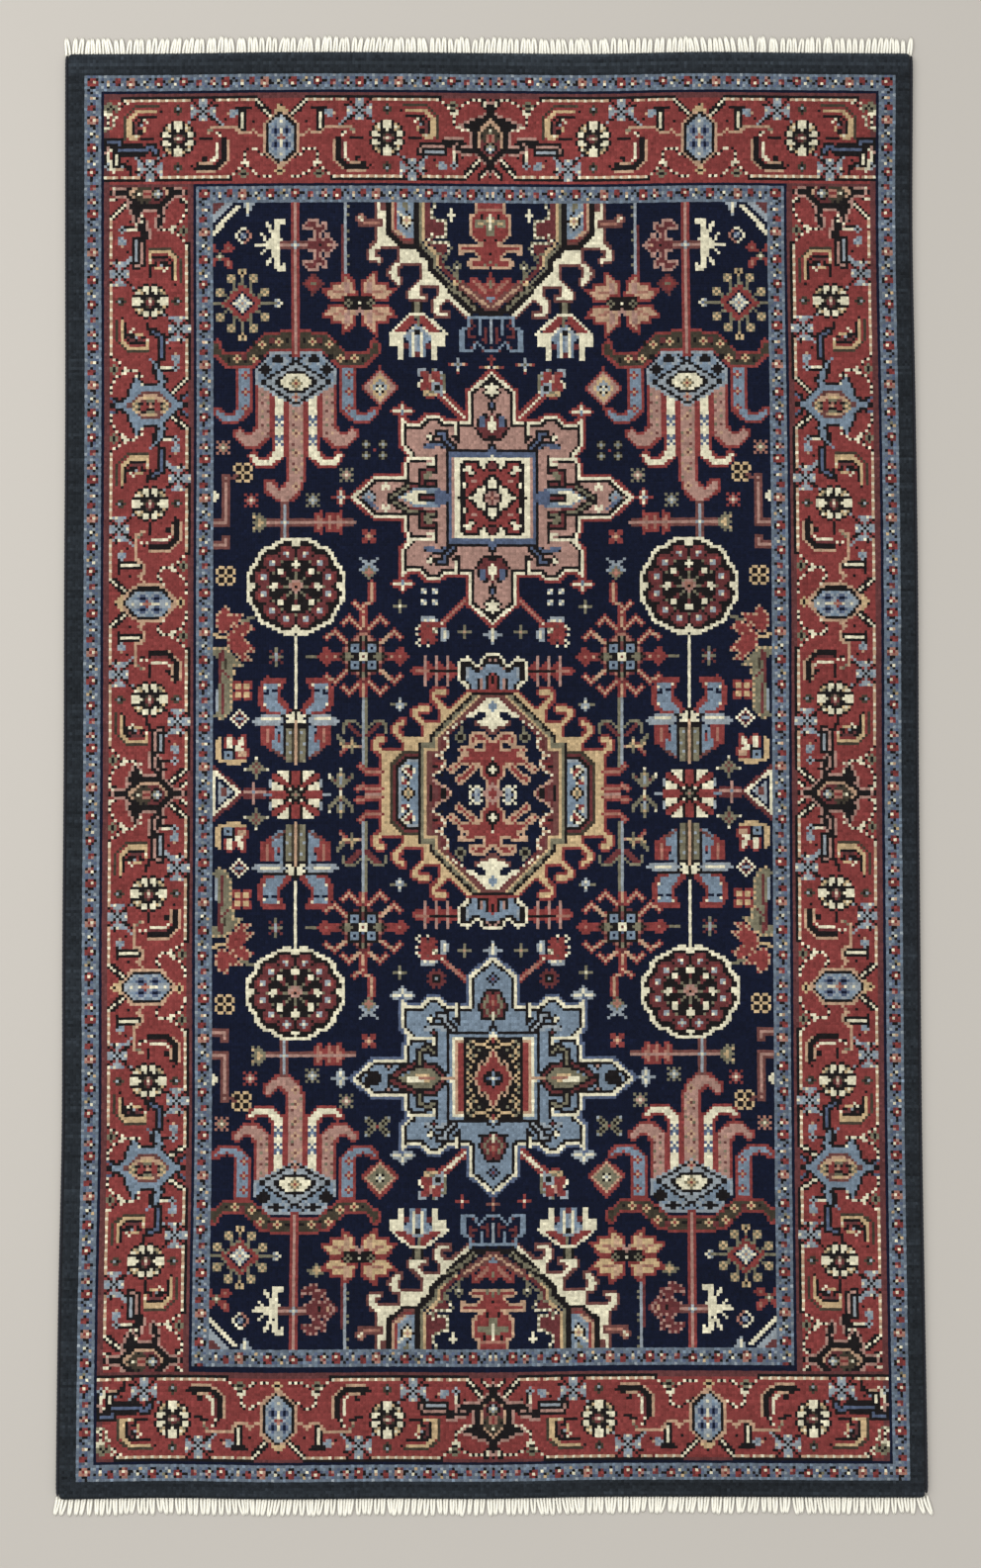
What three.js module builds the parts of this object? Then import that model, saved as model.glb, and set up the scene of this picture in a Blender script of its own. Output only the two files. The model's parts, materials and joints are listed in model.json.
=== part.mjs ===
// Hand-knotted wool rug, lying flat: one knotted cloth, an overcast wool cord along each long side
// and a cotton fringe along each short end.
// Millimetres, +Z up, +Y along the length. The origin is on the surface, under the middle of the rug.

import * as THREE from "three";

// Driving dimensions
const KNOT = 4.0;
const KNOTS_ACROSS = 303;
const KNOTS_ALONG = 513;
const CLOTH_THICKNESS = 10;
const CORNER_ROUNDING = 5;
const SEAM_GAP = 0.3;

const CORD_WIDTH = 5;
const CORD_HEIGHT = 7;
const CORD_ROUNDING = 1.5;

const FRINGE_LENGTH = 24;
const FRINGE_THICKNESS = 3;
const FRINGE_SPINE = 3;
const FRINGE_TEETH = 101;
const TOOTH_SHARE = 0.6;
const TOOTH_SWAY = 1.2;
const TOOTH_SWAY_STEP = 2.4;

// How far each edge stands out from the straight line, at even eighths of its length.
// The ends run from the left corner to the right, the sides from the far corner (+Y) to the near one.
const EDGE_STATIONS = {
  farEnd: [-1.2, -1.1, 1.9, 2.1, 0.6, -0.4, 2.5, 1.3, -1.2],
  nearEnd: [1.2, 0.8, 2.4, 1.2, 2.5, 0.4, 0.7, 1.2, 1.2],
  leftSide: [0, -1.5, -3.2, -3.4, -3.5, -3.7, -3.9, -0.8, 0],
  rightSide: [0, -3.2, -1.4, -0.6, -2.2, -2.8, -3.2, -1.7, 0],
};
const STEPS_PER_EDGE = 32;

const HALF_WIDTH = (KNOT * KNOTS_ACROSS) / 2;
const HALF_LENGTH = (KNOT * KNOTS_ALONG) / 2;

const COLOURS = {
  pile: 0x1b2238,
  cord: 0x23262d,
  cotton: 0xd9d3c4,
};

function woolMaterial(colour) {
  return new THREE.MeshStandardMaterial({ color: colour, roughness: 0.95, metalness: 0 });
}

// One edge as a smooth curve through its stations. direction is +1 or -1, the side it faces.
function endEdge(stations, direction) {
  const last = stations.length - 1;
  return new THREE.SplineCurve(
    stations.map((out, index) => {
      const x = HALF_WIDTH * ((2 * index) / last - 1);
      return new THREE.Vector2(x, direction * (HALF_LENGTH + out));
    }),
  );
}

function sideEdge(stations, direction, farCorner, nearCorner) {
  const last = stations.length - 1;
  return new THREE.SplineCurve(
    stations.map((out, index) => {
      const y = THREE.MathUtils.lerp(farCorner.y, nearCorner.y, index / last);
      return new THREE.Vector2(direction * (HALF_WIDTH + out), y);
    }),
  );
}

const farEnd = endEdge(EDGE_STATIONS.farEnd, 1);
const nearEnd = endEdge(EDGE_STATIONS.nearEnd, -1);
const leftSide = sideEdge(EDGE_STATIONS.leftSide, -1, farEnd.getPoint(0), nearEnd.getPoint(0));
const rightSide = sideEdge(EDGE_STATIONS.rightSide, 1, farEnd.getPoint(1), nearEnd.getPoint(1));

// The points of an edge, less the stretch at each end that the rounded corner takes
function trimmedPoints(edge) {
  const trim = CORNER_ROUNDING / edge.getLength();
  const points = [];
  for (let step = 0; step <= STEPS_PER_EDGE; step += 1) {
    points.push(edge.getPoint(THREE.MathUtils.lerp(trim, 1 - trim, step / STEPS_PER_EDGE)));
  }
  return points;
}

// The knotted cloth is one flat slab with the rug's own slightly uneven outline and soft corners
function makeCloth() {
  const edges = [
    trimmedPoints(farEnd).reverse(),
    trimmedPoints(leftSide),
    trimmedPoints(nearEnd),
    trimmedPoints(rightSide).reverse(),
  ];
  const corners = [farEnd.getPoint(0), nearEnd.getPoint(0), nearEnd.getPoint(1), farEnd.getPoint(1)];
  const outline = new THREE.Shape();
  outline.moveTo(edges[0][0].x, edges[0][0].y);
  edges.forEach((points, index) => {
    points.slice(1).forEach((point) => outline.lineTo(point.x, point.y));
    const corner = corners[index];
    const next = edges[(index + 1) % edges.length][0];
    outline.quadraticCurveTo(corner.x, corner.y, next.x, next.y);
  });
  const geometry = new THREE.ExtrudeGeometry(outline, {
    depth: CLOTH_THICKNESS,
    bevelEnabled: false,
    curveSegments: 4,
  });
  return new THREE.Mesh(geometry, woolMaterial(COLOURS.pile));
}

// A side cord follows its side of the cloth, a seam's gap away, with its long edges rounded
function makeSideCord(side, direction) {
  const inner = [];
  const outer = [];
  for (let step = 0; step <= STEPS_PER_EDGE; step += 1) {
    const point = side.getPoint(step / STEPS_PER_EDGE);
    inner.push(new THREE.Vector2(point.x + direction * SEAM_GAP, point.y));
    outer.push(new THREE.Vector2(point.x + direction * (SEAM_GAP + CORD_WIDTH), point.y));
  }
  const outline = new THREE.Shape([...inner, ...outer.reverse()]);
  const geometry = new THREE.ExtrudeGeometry(outline, {
    depth: CORD_HEIGHT - 2 * CORD_ROUNDING,
    bevelEnabled: true,
    bevelThickness: CORD_ROUNDING,
    bevelSize: CORD_ROUNDING,
    bevelOffset: -CORD_ROUNDING,
    bevelSegments: 2,
  });
  const cord = new THREE.Mesh(geometry, woolMaterial(COLOURS.cord));
  cord.position.z = CORD_ROUNDING;
  return cord;
}

// A fringe is a comb: a narrow spine against the end of the cloth, and teeth that sway a little.
// It is as wide as the cloth and both side cords.
function makeFringe(end, direction) {
  const halfSpan = HALF_WIDTH + SEAM_GAP + CORD_WIDTH;
  const pitch = (2 * halfSpan) / FRINGE_TEETH;
  const halfTooth = (pitch * TOOTH_SHARE) / 2;
  const edgeY = (x) => {
    const share = THREE.MathUtils.clamp((x / HALF_WIDTH + 1) / 2, 0, 1);
    return end.getPoint(share).y + direction * SEAM_GAP;
  };

  const comb = [];
  for (let tooth = 0; tooth < FRINGE_TEETH; tooth += 1) {
    const x = -halfSpan + pitch * (tooth + 0.5);
    const sway = TOOTH_SWAY * Math.sin(TOOTH_SWAY_STEP * tooth);
    const root = edgeY(x) + direction * FRINGE_SPINE;
    const tip = edgeY(x) + direction * FRINGE_LENGTH;
    const shoulder = tip - direction * halfTooth;
    comb.push(new THREE.Vector2(x - halfTooth, root));
    comb.push(new THREE.Vector2(x - halfTooth + sway, shoulder));
    comb.push(new THREE.Vector2(x + sway, tip));
    comb.push(new THREE.Vector2(x + halfTooth + sway, shoulder));
    comb.push(new THREE.Vector2(x + halfTooth, root));
  }

  const seat = [];
  for (let step = STEPS_PER_EDGE; step >= 0; step -= 1) {
    const x = THREE.MathUtils.lerp(-halfSpan, halfSpan, step / STEPS_PER_EDGE);
    seat.push(new THREE.Vector2(x, edgeY(x)));
  }

  const geometry = new THREE.ExtrudeGeometry(new THREE.Shape([...comb, ...seat]), {
    depth: FRINGE_THICKNESS,
    bevelEnabled: false,
  });
  return new THREE.Mesh(geometry, woolMaterial(COLOURS.cotton));
}

const rug = new THREE.Group();

function addPiece(name, mesh) {
  mesh.name = name;
  rug.add(mesh);
}

addPiece("rug_cloth", makeCloth());
addPiece("side_cord_left", makeSideCord(leftSide, -1));
addPiece("side_cord_right", makeSideCord(rightSide, 1));
addPiece("fringe_far_end", makeFringe(farEnd, 1));
addPiece("fringe_near_end", makeFringe(nearEnd, -1));

export default rug;
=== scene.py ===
import json
import math

import bpy
import numpy as np
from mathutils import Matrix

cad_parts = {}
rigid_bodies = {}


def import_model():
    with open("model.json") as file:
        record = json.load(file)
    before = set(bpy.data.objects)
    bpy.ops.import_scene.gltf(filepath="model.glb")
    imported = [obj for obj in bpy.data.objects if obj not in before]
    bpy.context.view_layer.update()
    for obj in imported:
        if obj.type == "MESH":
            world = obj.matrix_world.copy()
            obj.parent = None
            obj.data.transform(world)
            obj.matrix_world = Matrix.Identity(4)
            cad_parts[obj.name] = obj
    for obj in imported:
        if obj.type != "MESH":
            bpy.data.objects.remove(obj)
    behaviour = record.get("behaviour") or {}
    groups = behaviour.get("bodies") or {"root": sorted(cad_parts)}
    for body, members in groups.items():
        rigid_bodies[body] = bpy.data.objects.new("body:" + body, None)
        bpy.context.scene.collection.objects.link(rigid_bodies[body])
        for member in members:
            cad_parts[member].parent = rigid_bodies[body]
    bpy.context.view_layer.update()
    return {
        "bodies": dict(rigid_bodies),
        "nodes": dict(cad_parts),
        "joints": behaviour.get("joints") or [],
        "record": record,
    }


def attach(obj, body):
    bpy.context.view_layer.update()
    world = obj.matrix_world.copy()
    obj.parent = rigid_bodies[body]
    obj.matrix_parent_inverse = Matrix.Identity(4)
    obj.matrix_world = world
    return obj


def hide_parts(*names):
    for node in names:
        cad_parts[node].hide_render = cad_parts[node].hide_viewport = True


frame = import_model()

# A hand-knotted wool rug, lying flat: its pattern is knotted by a loom class into a cartoon of one
# wool to a knot, and every knot is one face of the pile. Metres, +Z up, the far end towards +Y.

MM = 0.001
SEED = 7
TINY = 1e-6

# Sizes of the weave
KNOT = 4.0 * MM
COLUMNS = 303
ROWS = 513
MIDDLE_COLUMN = COLUMNS // 2
HALF_WIDTH = KNOT * COLUMNS / 2
HALF_LENGTH = KNOT * ROWS / 2
CORNER_ROUNDING = 5 * MM
SEAM_GAP = 0.3 * MM

# How far each edge stands out from the straight line, at even eighths of its length.
# The ends run from the left corner to the right, the sides from the far corner to the near one.
FAR_END_OUT = np.array([-1.2, -0.1, 1.9, 2.1, 0.6, -0.4, 2.5, 1.3, 0.2]) * MM
NEAR_END_OUT = np.array([1.2, -0.4, 2.2, 1.6, 2.5, 0.4, 0.7, 2.0, 3.0]) * MM
LEFT_SIDE_OUT = np.array([0.3, -1.2, -3.0, -3.2, -4.2, -4.0, -4.9, -1.4, 0]) * MM
RIGHT_SIDE_OUT = np.array([0, -3.2, -1.4, -0.6, -2.2, -2.8, -3.2, -1.7, 0]) * MM

# Hand knotting isn't even: the columns and rows at which a band starts, and where it really lies
EVEN_COLUMNS, TRUE_COLUMNS = (0, 6, 297, 303), (0, 5.9, 297.8, 303)
EVEN_ROWS, TRUE_ROWS = (0, 6, 13, 500, 507, 513), (0, 7.1, 13.9, 500.2, 506.9, 513)

# Heights over the floor, and the cells of the pile's slow swell along the rug and across it
WEB_BOTTOM = 0.4 * MM
WEB_TOP = 3.5 * MM
PILE_TOP = 9.4 * MM
RIM_DROP = 2.2 * MM
RIM_KNOTS = 1.5
KNOT_JITTER = 0.35 * MM
PILE_JITTER = 0.22 * MM
PILE_SWELL = 0.35 * MM
SWELL_CELLS = (17, 10)
BACK_RIDGE = 0.35 * MM
BACK_STEP = 3

# The pile's zones, and how many knots in from the far end, the near end and both sides each starts
PILE_ZONES = (
    ("pile_outer_band", 0, 0, 0),
    ("pile_outer_guard", 7, 6, 6),
    ("pile_main_border", 13, 12, 12),
    ("pile_inner_guard", 48, 46, 46),
    ("pile_field", 54, 52, 52),
)

# The names and margins of the maps on the pieces
WOOL_COLOUR = "wool_colour"
MAP_MARGIN = 0.012
WALL_SPOT = 0.3

# The wool cords overcast along the long sides; their tips are CORD_END_SIZE of their full size
CORD_WIDTH = 5 * MM
CORD_HEIGHT = 7 * MM
CORD_SQUARENESS = 0.75
CORD_END_SIZE = 0.35
WRAP_PITCH = 6 * MM
WRAP_DEPTH = 0.35 * MM
CORD_STEPS = 1600
CORD_SIDES = 12

# The looped cotton fringes: how many loops, their sizes and how far these vary
LOOPS = 140
LOOP_LENGTH = 25.5 * MM
LENGTH_SPREAD = 0.03
LOOP_GAP = 4.6 * MM
GAP_SPREAD = (0.75, 1.15)
LOOP_STRAY = 0.5 * MM
LOOP_TUCK = 2 * MM
LOOP_STEPS = 13
STRAND_RADIUS = 2.25 * MM
STRAND_FLATNESS = 0.55
STRAND_SIDES = 4

# How a loop leans, more in the outermost part of CORNER_SHARE, and how its legs run
LEAN_DRIFT = 3.4 * MM
DRIFT_CELLS = 24
LEAN_SPREAD = 1.5 * MM
LEAN_POWER = 1.3
CORNER_LEAN = 6 * MM
CORNER_SHARE = 30
LEG_CROWDING = 0.28
LEG_POWER = 0.6

# How a loop lies: its middle over the floor, how far under the web's top it starts and how much higher
# every other loop lies, in strand radii, and how fast it comes down
REST_RADII = 0.7
ROOT_RADII = 1.6
LAYER_RADII = 0.8
LAYER_SPREAD = (0.3, 1.0)
FALL_RATE = 3

# The camera, fitted to the rug's four corners in the photograph
PHOTO_SIZE = (992, 1585)
CAMERA_PLACE = (-0.0178, -0.1557, 3.0)
CAMERA_TURN = (2.455, -0.320, -0.113)
CAMERA_PIXELS_TO_LENS = 2133.5
SENSOR_HEIGHT = 36.0

# The studio: lamps by name with place, size and power, the even light all round, and the floor
LAMPS = (("window_side", (-2.6, 1.0, 2.6), 2.5, 61), ("overhead", (0.5, -0.6, 4.4), 3.0, 46))
EVEN_LIGHT = 0.76
FLOOR_HALF = 6.0
FLOOR_ROUGHNESS = 0.9

# Colours as seen, red, green and blue from 0 to 255; the wools by letter, with their plain names
FLOOR_COLOUR = (186, 181, 173)
CORD_COLOUR = (34, 36, 42)
COTTON_COLOUR = (255, 251, 236)
WOOLS = {
    "n": ("navy", (11, 17, 36)),
    "c": ("charcoal", (34, 39, 44)),
    "k": ("black-brown", (22, 19, 20)),
    "r": ("brick red", (118, 53, 51)),
    "d": ("madder", (91, 45, 46)),
    "l": ("plum", (88, 50, 50)),
    "u": ("rust", (97, 60, 56)),
    "a": ("salmon", (146, 102, 88)),
    "o": ("rose", (152, 119, 108)),
    "p": ("peach", (168, 138, 113)),
    "y": ("camel", (177, 153, 116)),
    "v": ("olive", (108, 104, 85)),
    "e": ("dark olive", (58, 52, 42)),
    "b": ("sky", (107, 122, 136)),
    "t": ("storm blue", (91, 101, 112)),
    "s": ("slate blue", (75, 86, 108)),
    "g": ("pearl", (132, 140, 145)),
    "i": ("ivory", (205, 199, 172)),
}
LETTERS = "".join(WOOLS)

# How far a wool's pile stands over the rest, in millimetres: black corrodes, ivory is the toughest
WOOL_GROWTHS = {"k": -0.9, "e": -0.5, "d": -0.3, "n": -0.1, "i": 0.25}

# How far knots vary in tone: each on its own, each row with a slow streak in it, and each dye lot.
# Cells are how many slow changes go down the rug and across it.
OWN_TONE = 0.13
STREAK_TONE = 0.035
SLOW_STREAK = 1.4
STREAK_CELLS = (250, 9)
LOT_TONE = 0.08
LOT_CELLS = (26, 5)

# The outer border's charcoal, pale in the first rows of the far end and dark at the near end
CHARCOAL_ROWS = (0, 3.5, 5, 8, 12, 250, 505, 513)
CHARCOAL_TONES = (0.45, 0.35, -0.25, -0.3, -0.15, -0.1, -0.1, -0.1)
CHARCOAL_STREAK_TONE = 0.1
CHARCOAL_OWN_TONE = 0.05

# Wool and cotton hardly shine; the Mix node's colour sockets by number
FIBRE_GLOSS = 0.08
SHEEN_ROUGHNESS = 0.6
MIX_FIRST, MIX_SECOND, MIX_RESULT = 6, 7, 2

# The near half repeats the far half's motifs upside down, packed a little tighter in places:
# how far down the rug a row of the far half is, and where it lies again in the near half
FAR_PLACES = (0, 54, 69.5, 90.3, 108, 119, 161, 192, 217, 231, 266, 300)
NEAR_PLACES = (513, 461, 447, 429, 414.3, 403, 366.4, 336.5, 313.8, 301.6, 266, 232)

# Rows of the rug's middle and of a star medallion's, in knots from the far end
MIDDLE_ROW = 266
STAR_MIDDLE = 160.5

# A line up to this many knots wide runs through the middles of knots
THIN = 1.3

# How far past its edge a shape, and a line, still takes a knot's middle
SHAPE_REACH = 0.1
LINE_REACH = 0.02


def wool_number(letter):
    return LETTERS.index(letter)


class Loom:
    """Knots motifs into the cartoon: one wool number to a knot, rows counted from the far end.

    A place (x, y) is in knots, x across from the rug's middle and y down from the far end, so that
    a knot's middle is at its number plus a half. A loom has a place and directions of its own, so
    one motif is knotted again elsewhere, flipped, turned or spread, and a loom for the near half
    sends each far row to its near one. A loom with an inset knots nothing that near the sides and ends.
    """

    def __init__(self, cartoon, near=False, middle=(0.0, 0.0), frame=((1, 0), (0, 1)), inset=(0, 0)):
        self.cartoon = cartoon
        self.near = near
        self.inset = inset
        self.middle = np.array(middle, float)
        self.frame = np.array(frame, float)

    def at(self, x, y, right=(1, 0), down=(0, 1)):
        """The loom moved to (x, y), with its new x along right and its new y along down."""
        middle = self.middle + np.array([x, y]) @ self.frame
        return Loom(self.cartoon, self.near, middle, np.array([right, down]) @ self.frame, self.inset)

    def halves(self):
        """The loom and its mirror image across x = 0."""
        return self, self.at(0, 0, right=(-1, 0))

    def levels(self, y=0):
        """The loom moved to y, and its mirror image across that row."""
        return self.at(0, y), self.at(0, y, down=(0, -1))

    def quarters(self):
        """The loom in its four mirrored quarters."""
        return [quarter for half in self.halves() for quarter in half.levels()]

    def spots(self, points):
        """The points' places on the whole rug."""
        spots = self.middle + np.atleast_2d(points).astype(float) @ self.frame
        if self.near:
            spots[:, 1] = np.interp(spots[:, 1], FAR_PLACES, NEAR_PLACES)
        return spots

    def distances(self, points, closed, margin, snapped=False):
        """Distance in knots from each nearby knot to the outline, and the window of those knots.

        It is the least distance to the outline's straight stretches, negative inside a closed one,
        where inside is an odd number of crossings of a ray along x. Snapped points move to the
        middles of their knots.
        """
        starts = self.spots(points)
        if snapped:
            starts = np.floor(starts + TINY) + 0.5
        ends = np.roll(starts, -1, axis=0)
        low = np.floor(starts.min(axis=0) - margin).astype(int)
        high = np.ceil(starts.max(axis=0) + margin).astype(int)
        side, end = self.inset
        columns = np.clip([low[0] + MIDDLE_COLUMN, high[0] + MIDDLE_COLUMN], side, COLUMNS - side)
        rows = np.clip([low[1], high[1]], end, ROWS - end)
        window = (slice(*rows), slice(*columns))
        y, x = np.mgrid[window] + 0.5
        x -= MIDDLE_COLUMN
        nearest = np.full(x.shape, np.inf)
        inside = np.zeros(x.shape, bool)
        last = len(starts) if closed or len(starts) == 1 else len(starts) - 1
        for (x1, y1), (x2, y2) in zip(starts[:last], ends[:last]):
            run = np.array([x2 - x1, y2 - y1])
            share = ((x - x1) * run[0] + (y - y1) * run[1]) / max(run @ run, TINY)
            share = np.clip(share, 0, 1)
            nearest = np.minimum(nearest, np.hypot(x - x1 - share * run[0], y - y1 - share * run[1]))
            if closed and y1 != y2:
                inside ^= ((y1 > y) != (y2 > y)) & (x < x1 + (y - y1) * run[0] / run[1])
        return np.where(inside, -nearest, nearest), window

    def shape(self, points, wools, inner=0):
        """A filled outline. wools lists its one-knot rings inwards, the last one filling it.

        The first inner rings stand outside the outline.
        """
        distance, window = self.distances(points, True, len(wools) + 1)
        for ring, letter in enumerate(wools):
            self.cartoon[window][distance <= inner - ring + SHAPE_REACH] = wool_number(letter)

    def diamond(self, x, y, wools, wide, tall):
        """A diamond on (x, y), wide and tall from there to its tips."""
        self.shape([(x, y - tall), (x + wide, y), (x, y + tall), (x - wide, y)], wools)

    def line(self, points, wools, width=1.0, edge=1.0):
        """A line along points. wools lists its edges inwards, the last one being the line's own."""
        distance, window = self.distances(points, False, len(wools) + width, width <= THIN)
        for ring, letter in enumerate(wools):
            reach = (len(wools) - 1 - ring) * edge + width / 2 + LINE_REACH
            self.cartoon[window][distance <= reach] = wool_number(letter)

    def beads(self, points, letters):
        """Single knots along points, their wools taken from the letters in turn."""
        points = np.array(points, float)
        lengths = np.hypot(*np.diff(points, axis=0).T)
        along = np.concatenate([[0], np.cumsum(lengths)])
        steps = np.linspace(0, along[-1], int(along[-1]) + 1)
        for number, step in enumerate(steps):
            spot = [np.interp(step, along, points[:, 0]), np.interp(step, along, points[:, 1])]
            if letters[number % len(letters)] != ".":
                self.line([spot], letters[number % len(letters)])

    def dots(self, points, letter, size=1.0):
        """Single knots, or round dots of the size, one at each point."""
        for point in points:
            self.line([point], letter, size)

    def eye(self, x, y, wools):
        """A knot on (x, y) with four of another wool round it; wools lists these first."""
        edge, heart = wools
        self.chart(["." + edge, edge + heart], x, y, fold="xy")

    def chart(self, rows, x=0.0, y=0.0, fold=""):
        """A small charted motif, middle on (x, y), a full stop for a knot left as it is.

        fold x means that the rows stop at the middle column and go on mirrored, fold y the same down.
        """
        cells = np.array([list(letters) for letters in rows])
        if "x" in fold:
            cells = np.concatenate([cells, cells[:, -2::-1]], axis=1)
        if "y" in fold:
            cells = np.concatenate([cells, cells[-2::-1]], axis=0)
        row, column = np.nonzero(cells != ".")
        size = np.array(cells.shape)
        places = np.stack([column - (size[1] - 1) / 2, row - (size[0] - 1) / 2], axis=1)
        upright = np.sign(np.round(self.frame, 1)) * [1, -1 if self.near else 1]
        middle = self.spots([(x, y)])[0]
        spots = np.floor(middle + places @ upright + TINY).astype(int)
        columns = spots[:, 0] + MIDDLE_COLUMN
        side, end = self.inset
        rows = spots[:, 1]
        on = (columns >= side) & (columns < COLUMNS - side) & (rows >= end) & (rows < ROWS - end)
        numbers = np.array([wool_number(letter) for letter in cells[row, column]])
        self.cartoon[rows[on], columns[on]] = numbers[on]


def both_sides(points):
    """The points, then their mirror images across x = 0 in turn, which close the outline."""
    return points + [(-x, y) for x, y in points[::-1]]


def both_levels(points):
    """The points, then their mirror images across y = 0 in turn, which close the outline."""
    return points + [(x, -y) for x, y in points[::-1]]


# Borders
def leaf_cross(loom):
    """A four-lobed pearl leaf under a black diagonal cross."""
    loom.chart([
        "k..gig..k",
        ".k.ggg.k.",
        "g.kgbgk.g",
        "gg.kgk.gi",
        "igggkgggg",
        "gg.kgk.gg",
        "b.kgbgk.b",
        ".k.gig.k.",
    ])


def rosette(loom):
    """A round flower of ivory heart petals with cream and olive ones between, on a dark ground."""
    loom.chart([
        "....kiiik....",
        "..kikiiikyk..",
        ".kyikiiikiyk.",
        ".kvykkikkyvk.",
        "kiikkkekkkiik",
        "kiiikeddekiik",
        ".kkkkoiodkkk.",
        "kiikkeddkkiik",
        "kiiikkekkiiik",
        ".kvkkkikkkyk.",
        ".kyvkiiikvik.",
        "..kykiiiykk..",
        "....kiiik....",
    ])


def hooked_leaf(loom, camel):
    """A C-shaped leaf, black between peach lines or all of camel strands, a bud curled inside it."""
    if camel:
        loom.line([(-6.5, 11.6), (-14, 11.6), (-18, 7.8), (-18, 0.5)], "e")
        loom.line([(-7.5, 10), (-14, 10), (-16.7, 7.2), (-16.7, 0.6), (-13.8, 0.6)], "y", 1.5)
        loom.line([(-7.5, 8.5), (-13.3, 8.5), (-15.2, 6.4), (-15.2, 1.8)], "k")
        loom.line([(-12.5, 7.5), (-14.2, 5.5), (-14.2, 2.5)], "l")
        loom.line([(-12, 7), (-13, 5)], "k", 2)
        loom.dots([(-12.5, 2.5)], "k", 2)
        loom.line([(-11.5, 4.5), (-11.5, 3)], "y")
        loom.dots([(-11, 7), (-10, 6), (-14, 1)], "i")
        loom.dots([(-12.5, 5)], "g")
        return
    loom.line([(-18.2, 1), (-18.2, 8), (-13.7, 12), (-7.2, 12)], "p")
    loom.line([(-16.9, 0.6), (-16.9, 7.4), (-13.2, 10.7), (-7.2, 10.7)], "k", 2)
    loom.line([(-15.4, 0.6), (-15.4, 6.8)], "d", 1.2)
    loom.line([(-14, 2), (-14, 7), (-12.8, 8)], "i")
    loom.line([(-12, 8.6), (-10.5, 9.3), (-7.3, 9.2)], "p")
    loom.dots([(-10.2, 7.4), (-7.8, 9.8)], "k", 2)
    loom.beads([(-15.4, -2.2), (-16, 0)], "k")
    loom.dots([(-14.6, -2.5), (-15, -0.8)], "i")


def far_arm(loom, kind):
    """What stands between the leaf and the next flower: a peach zigzag, or the palmette's own arm."""
    if kind == "hexagon":
        loom.line([(-25.7, -10.8), (-21.3, -10.8)], "k", 1.4)
        loom.line([(-23.5, -9.5), (-23.5, -4)], "ki")
        loom.line([(-11.2, -2), (-12.2, -4.4), (-21.4, -4.4), (-21.7, -2.6), (-23.3, -1.6), (-26, -1.8),
                   (-27.3, -3.3), (-29.3, -1.5), (-32, -2)], "p")
        loom.dots([(-11.5, -3), (-12.5, -3.4)], "v")
        return
    loom.line([(-24, -3), (-24, -8.5)], "i")
    loom.line([(-25, -3), (-25, -9)], "k")
    loom.eye(-24, -10, "gk")
    if kind == "blue":
        loom.line([(-20, -4.8), (-12.5, -4.8), (-10.5, -2)], "ks", 1)
        loom.line([(-31.5, -4.6), (-28.5, -5), (-26, -3.4), (-22.8, -2.6)], "kb", 1.8, 0.8)
        loom.line([(-22.8, -2.6), (-20.5, -0.8)], "b")
    else:
        loom.line([(-32, -4.5), (-29.5, -4.2), (-27, -2.4), (-21.5, -1.8)], "k", 3)
        loom.line([(-28.5, -6.2), (-25.6, -4.2)], "o")
        loom.line([(-27, -0.4), (-21.5, 0)], "o")
        loom.line([(-20, -3), (-13.5, -3), (-12.5, -4.6)], "ko", 1)
        loom.line([(-20.5, -5), (-14.5, -5)], "kg", 0.8)


DRAWN_REACH = 37


def half_run(loom, reach, kind):
    """The vine between a rosette, at 0, and the flower of the given kind that lies reach to its left.

    It is drawn for a reach of DRAWN_REACH and spread to fit.
    """
    run = loom.at(0, 0, right=(reach / DRAWN_REACH, 0))
    run.line([(-28, -15), (19, -15)], "k")
    run.line([(-33.4, -8.2), (-28, -14)], "ki", 0.6)
    run.beads([(-28, -14), (-13.5, -14)], "ipp")
    run.beads([(-5.5, -14), (18.5, -14)], "ipp")
    run.line([(-19.5, 15), (0, 15)], "k")
    run.beads([(0, 14), (-18.5, 14)], "ipp")
    run.beads([(-19.5, 14), (-21.7, 11.5), (-23, 10.5)], "ki")
    run.line([(-15, -4.8), (-12, -8)], "k")
    run.line([(-16, -5.2), (-12.5, -9)], "g", 0.8)
    run.beads([(-7, -8), (-3.8, -5.5)], "kg")
    leaf_cross(run.at(-9.5, -11))
    run.chart([".e", "eg", "ek", ".e"], 0, -10.5, fold="x")
    run.chart(["bgg.", "gbgp", ".gb."], -20, -9.5)
    hooked_leaf(run, kind != "hexagon")
    far_arm(run, kind)
    run.beads([(-24.2, 8), (-24.2, 5.3), (-25.5, 3.7), (-27.9, 3.7), (-29.9, 5.7), (-31.5, 5.7),
               (-32.3, 7)], "ik")
    run.beads([(-25.5, 10.2), (-29.3, 13.8), (-33, 13.8)], "ik")
    run.chart([".i.", "iii", "ik."], -24.2, 9)
    run.chart([".vv.", "vkkv"], -24, 12.5, fold="y")
    run.line([(-8, 0.4), (-12, 0)], "k")
    run.dots([(-27.5, -6.5), (-17.2, -7.5), (-13.5, -12), (-14.5, -12), (-30, -10.5), (-5.5, 10)], "k")


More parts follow.
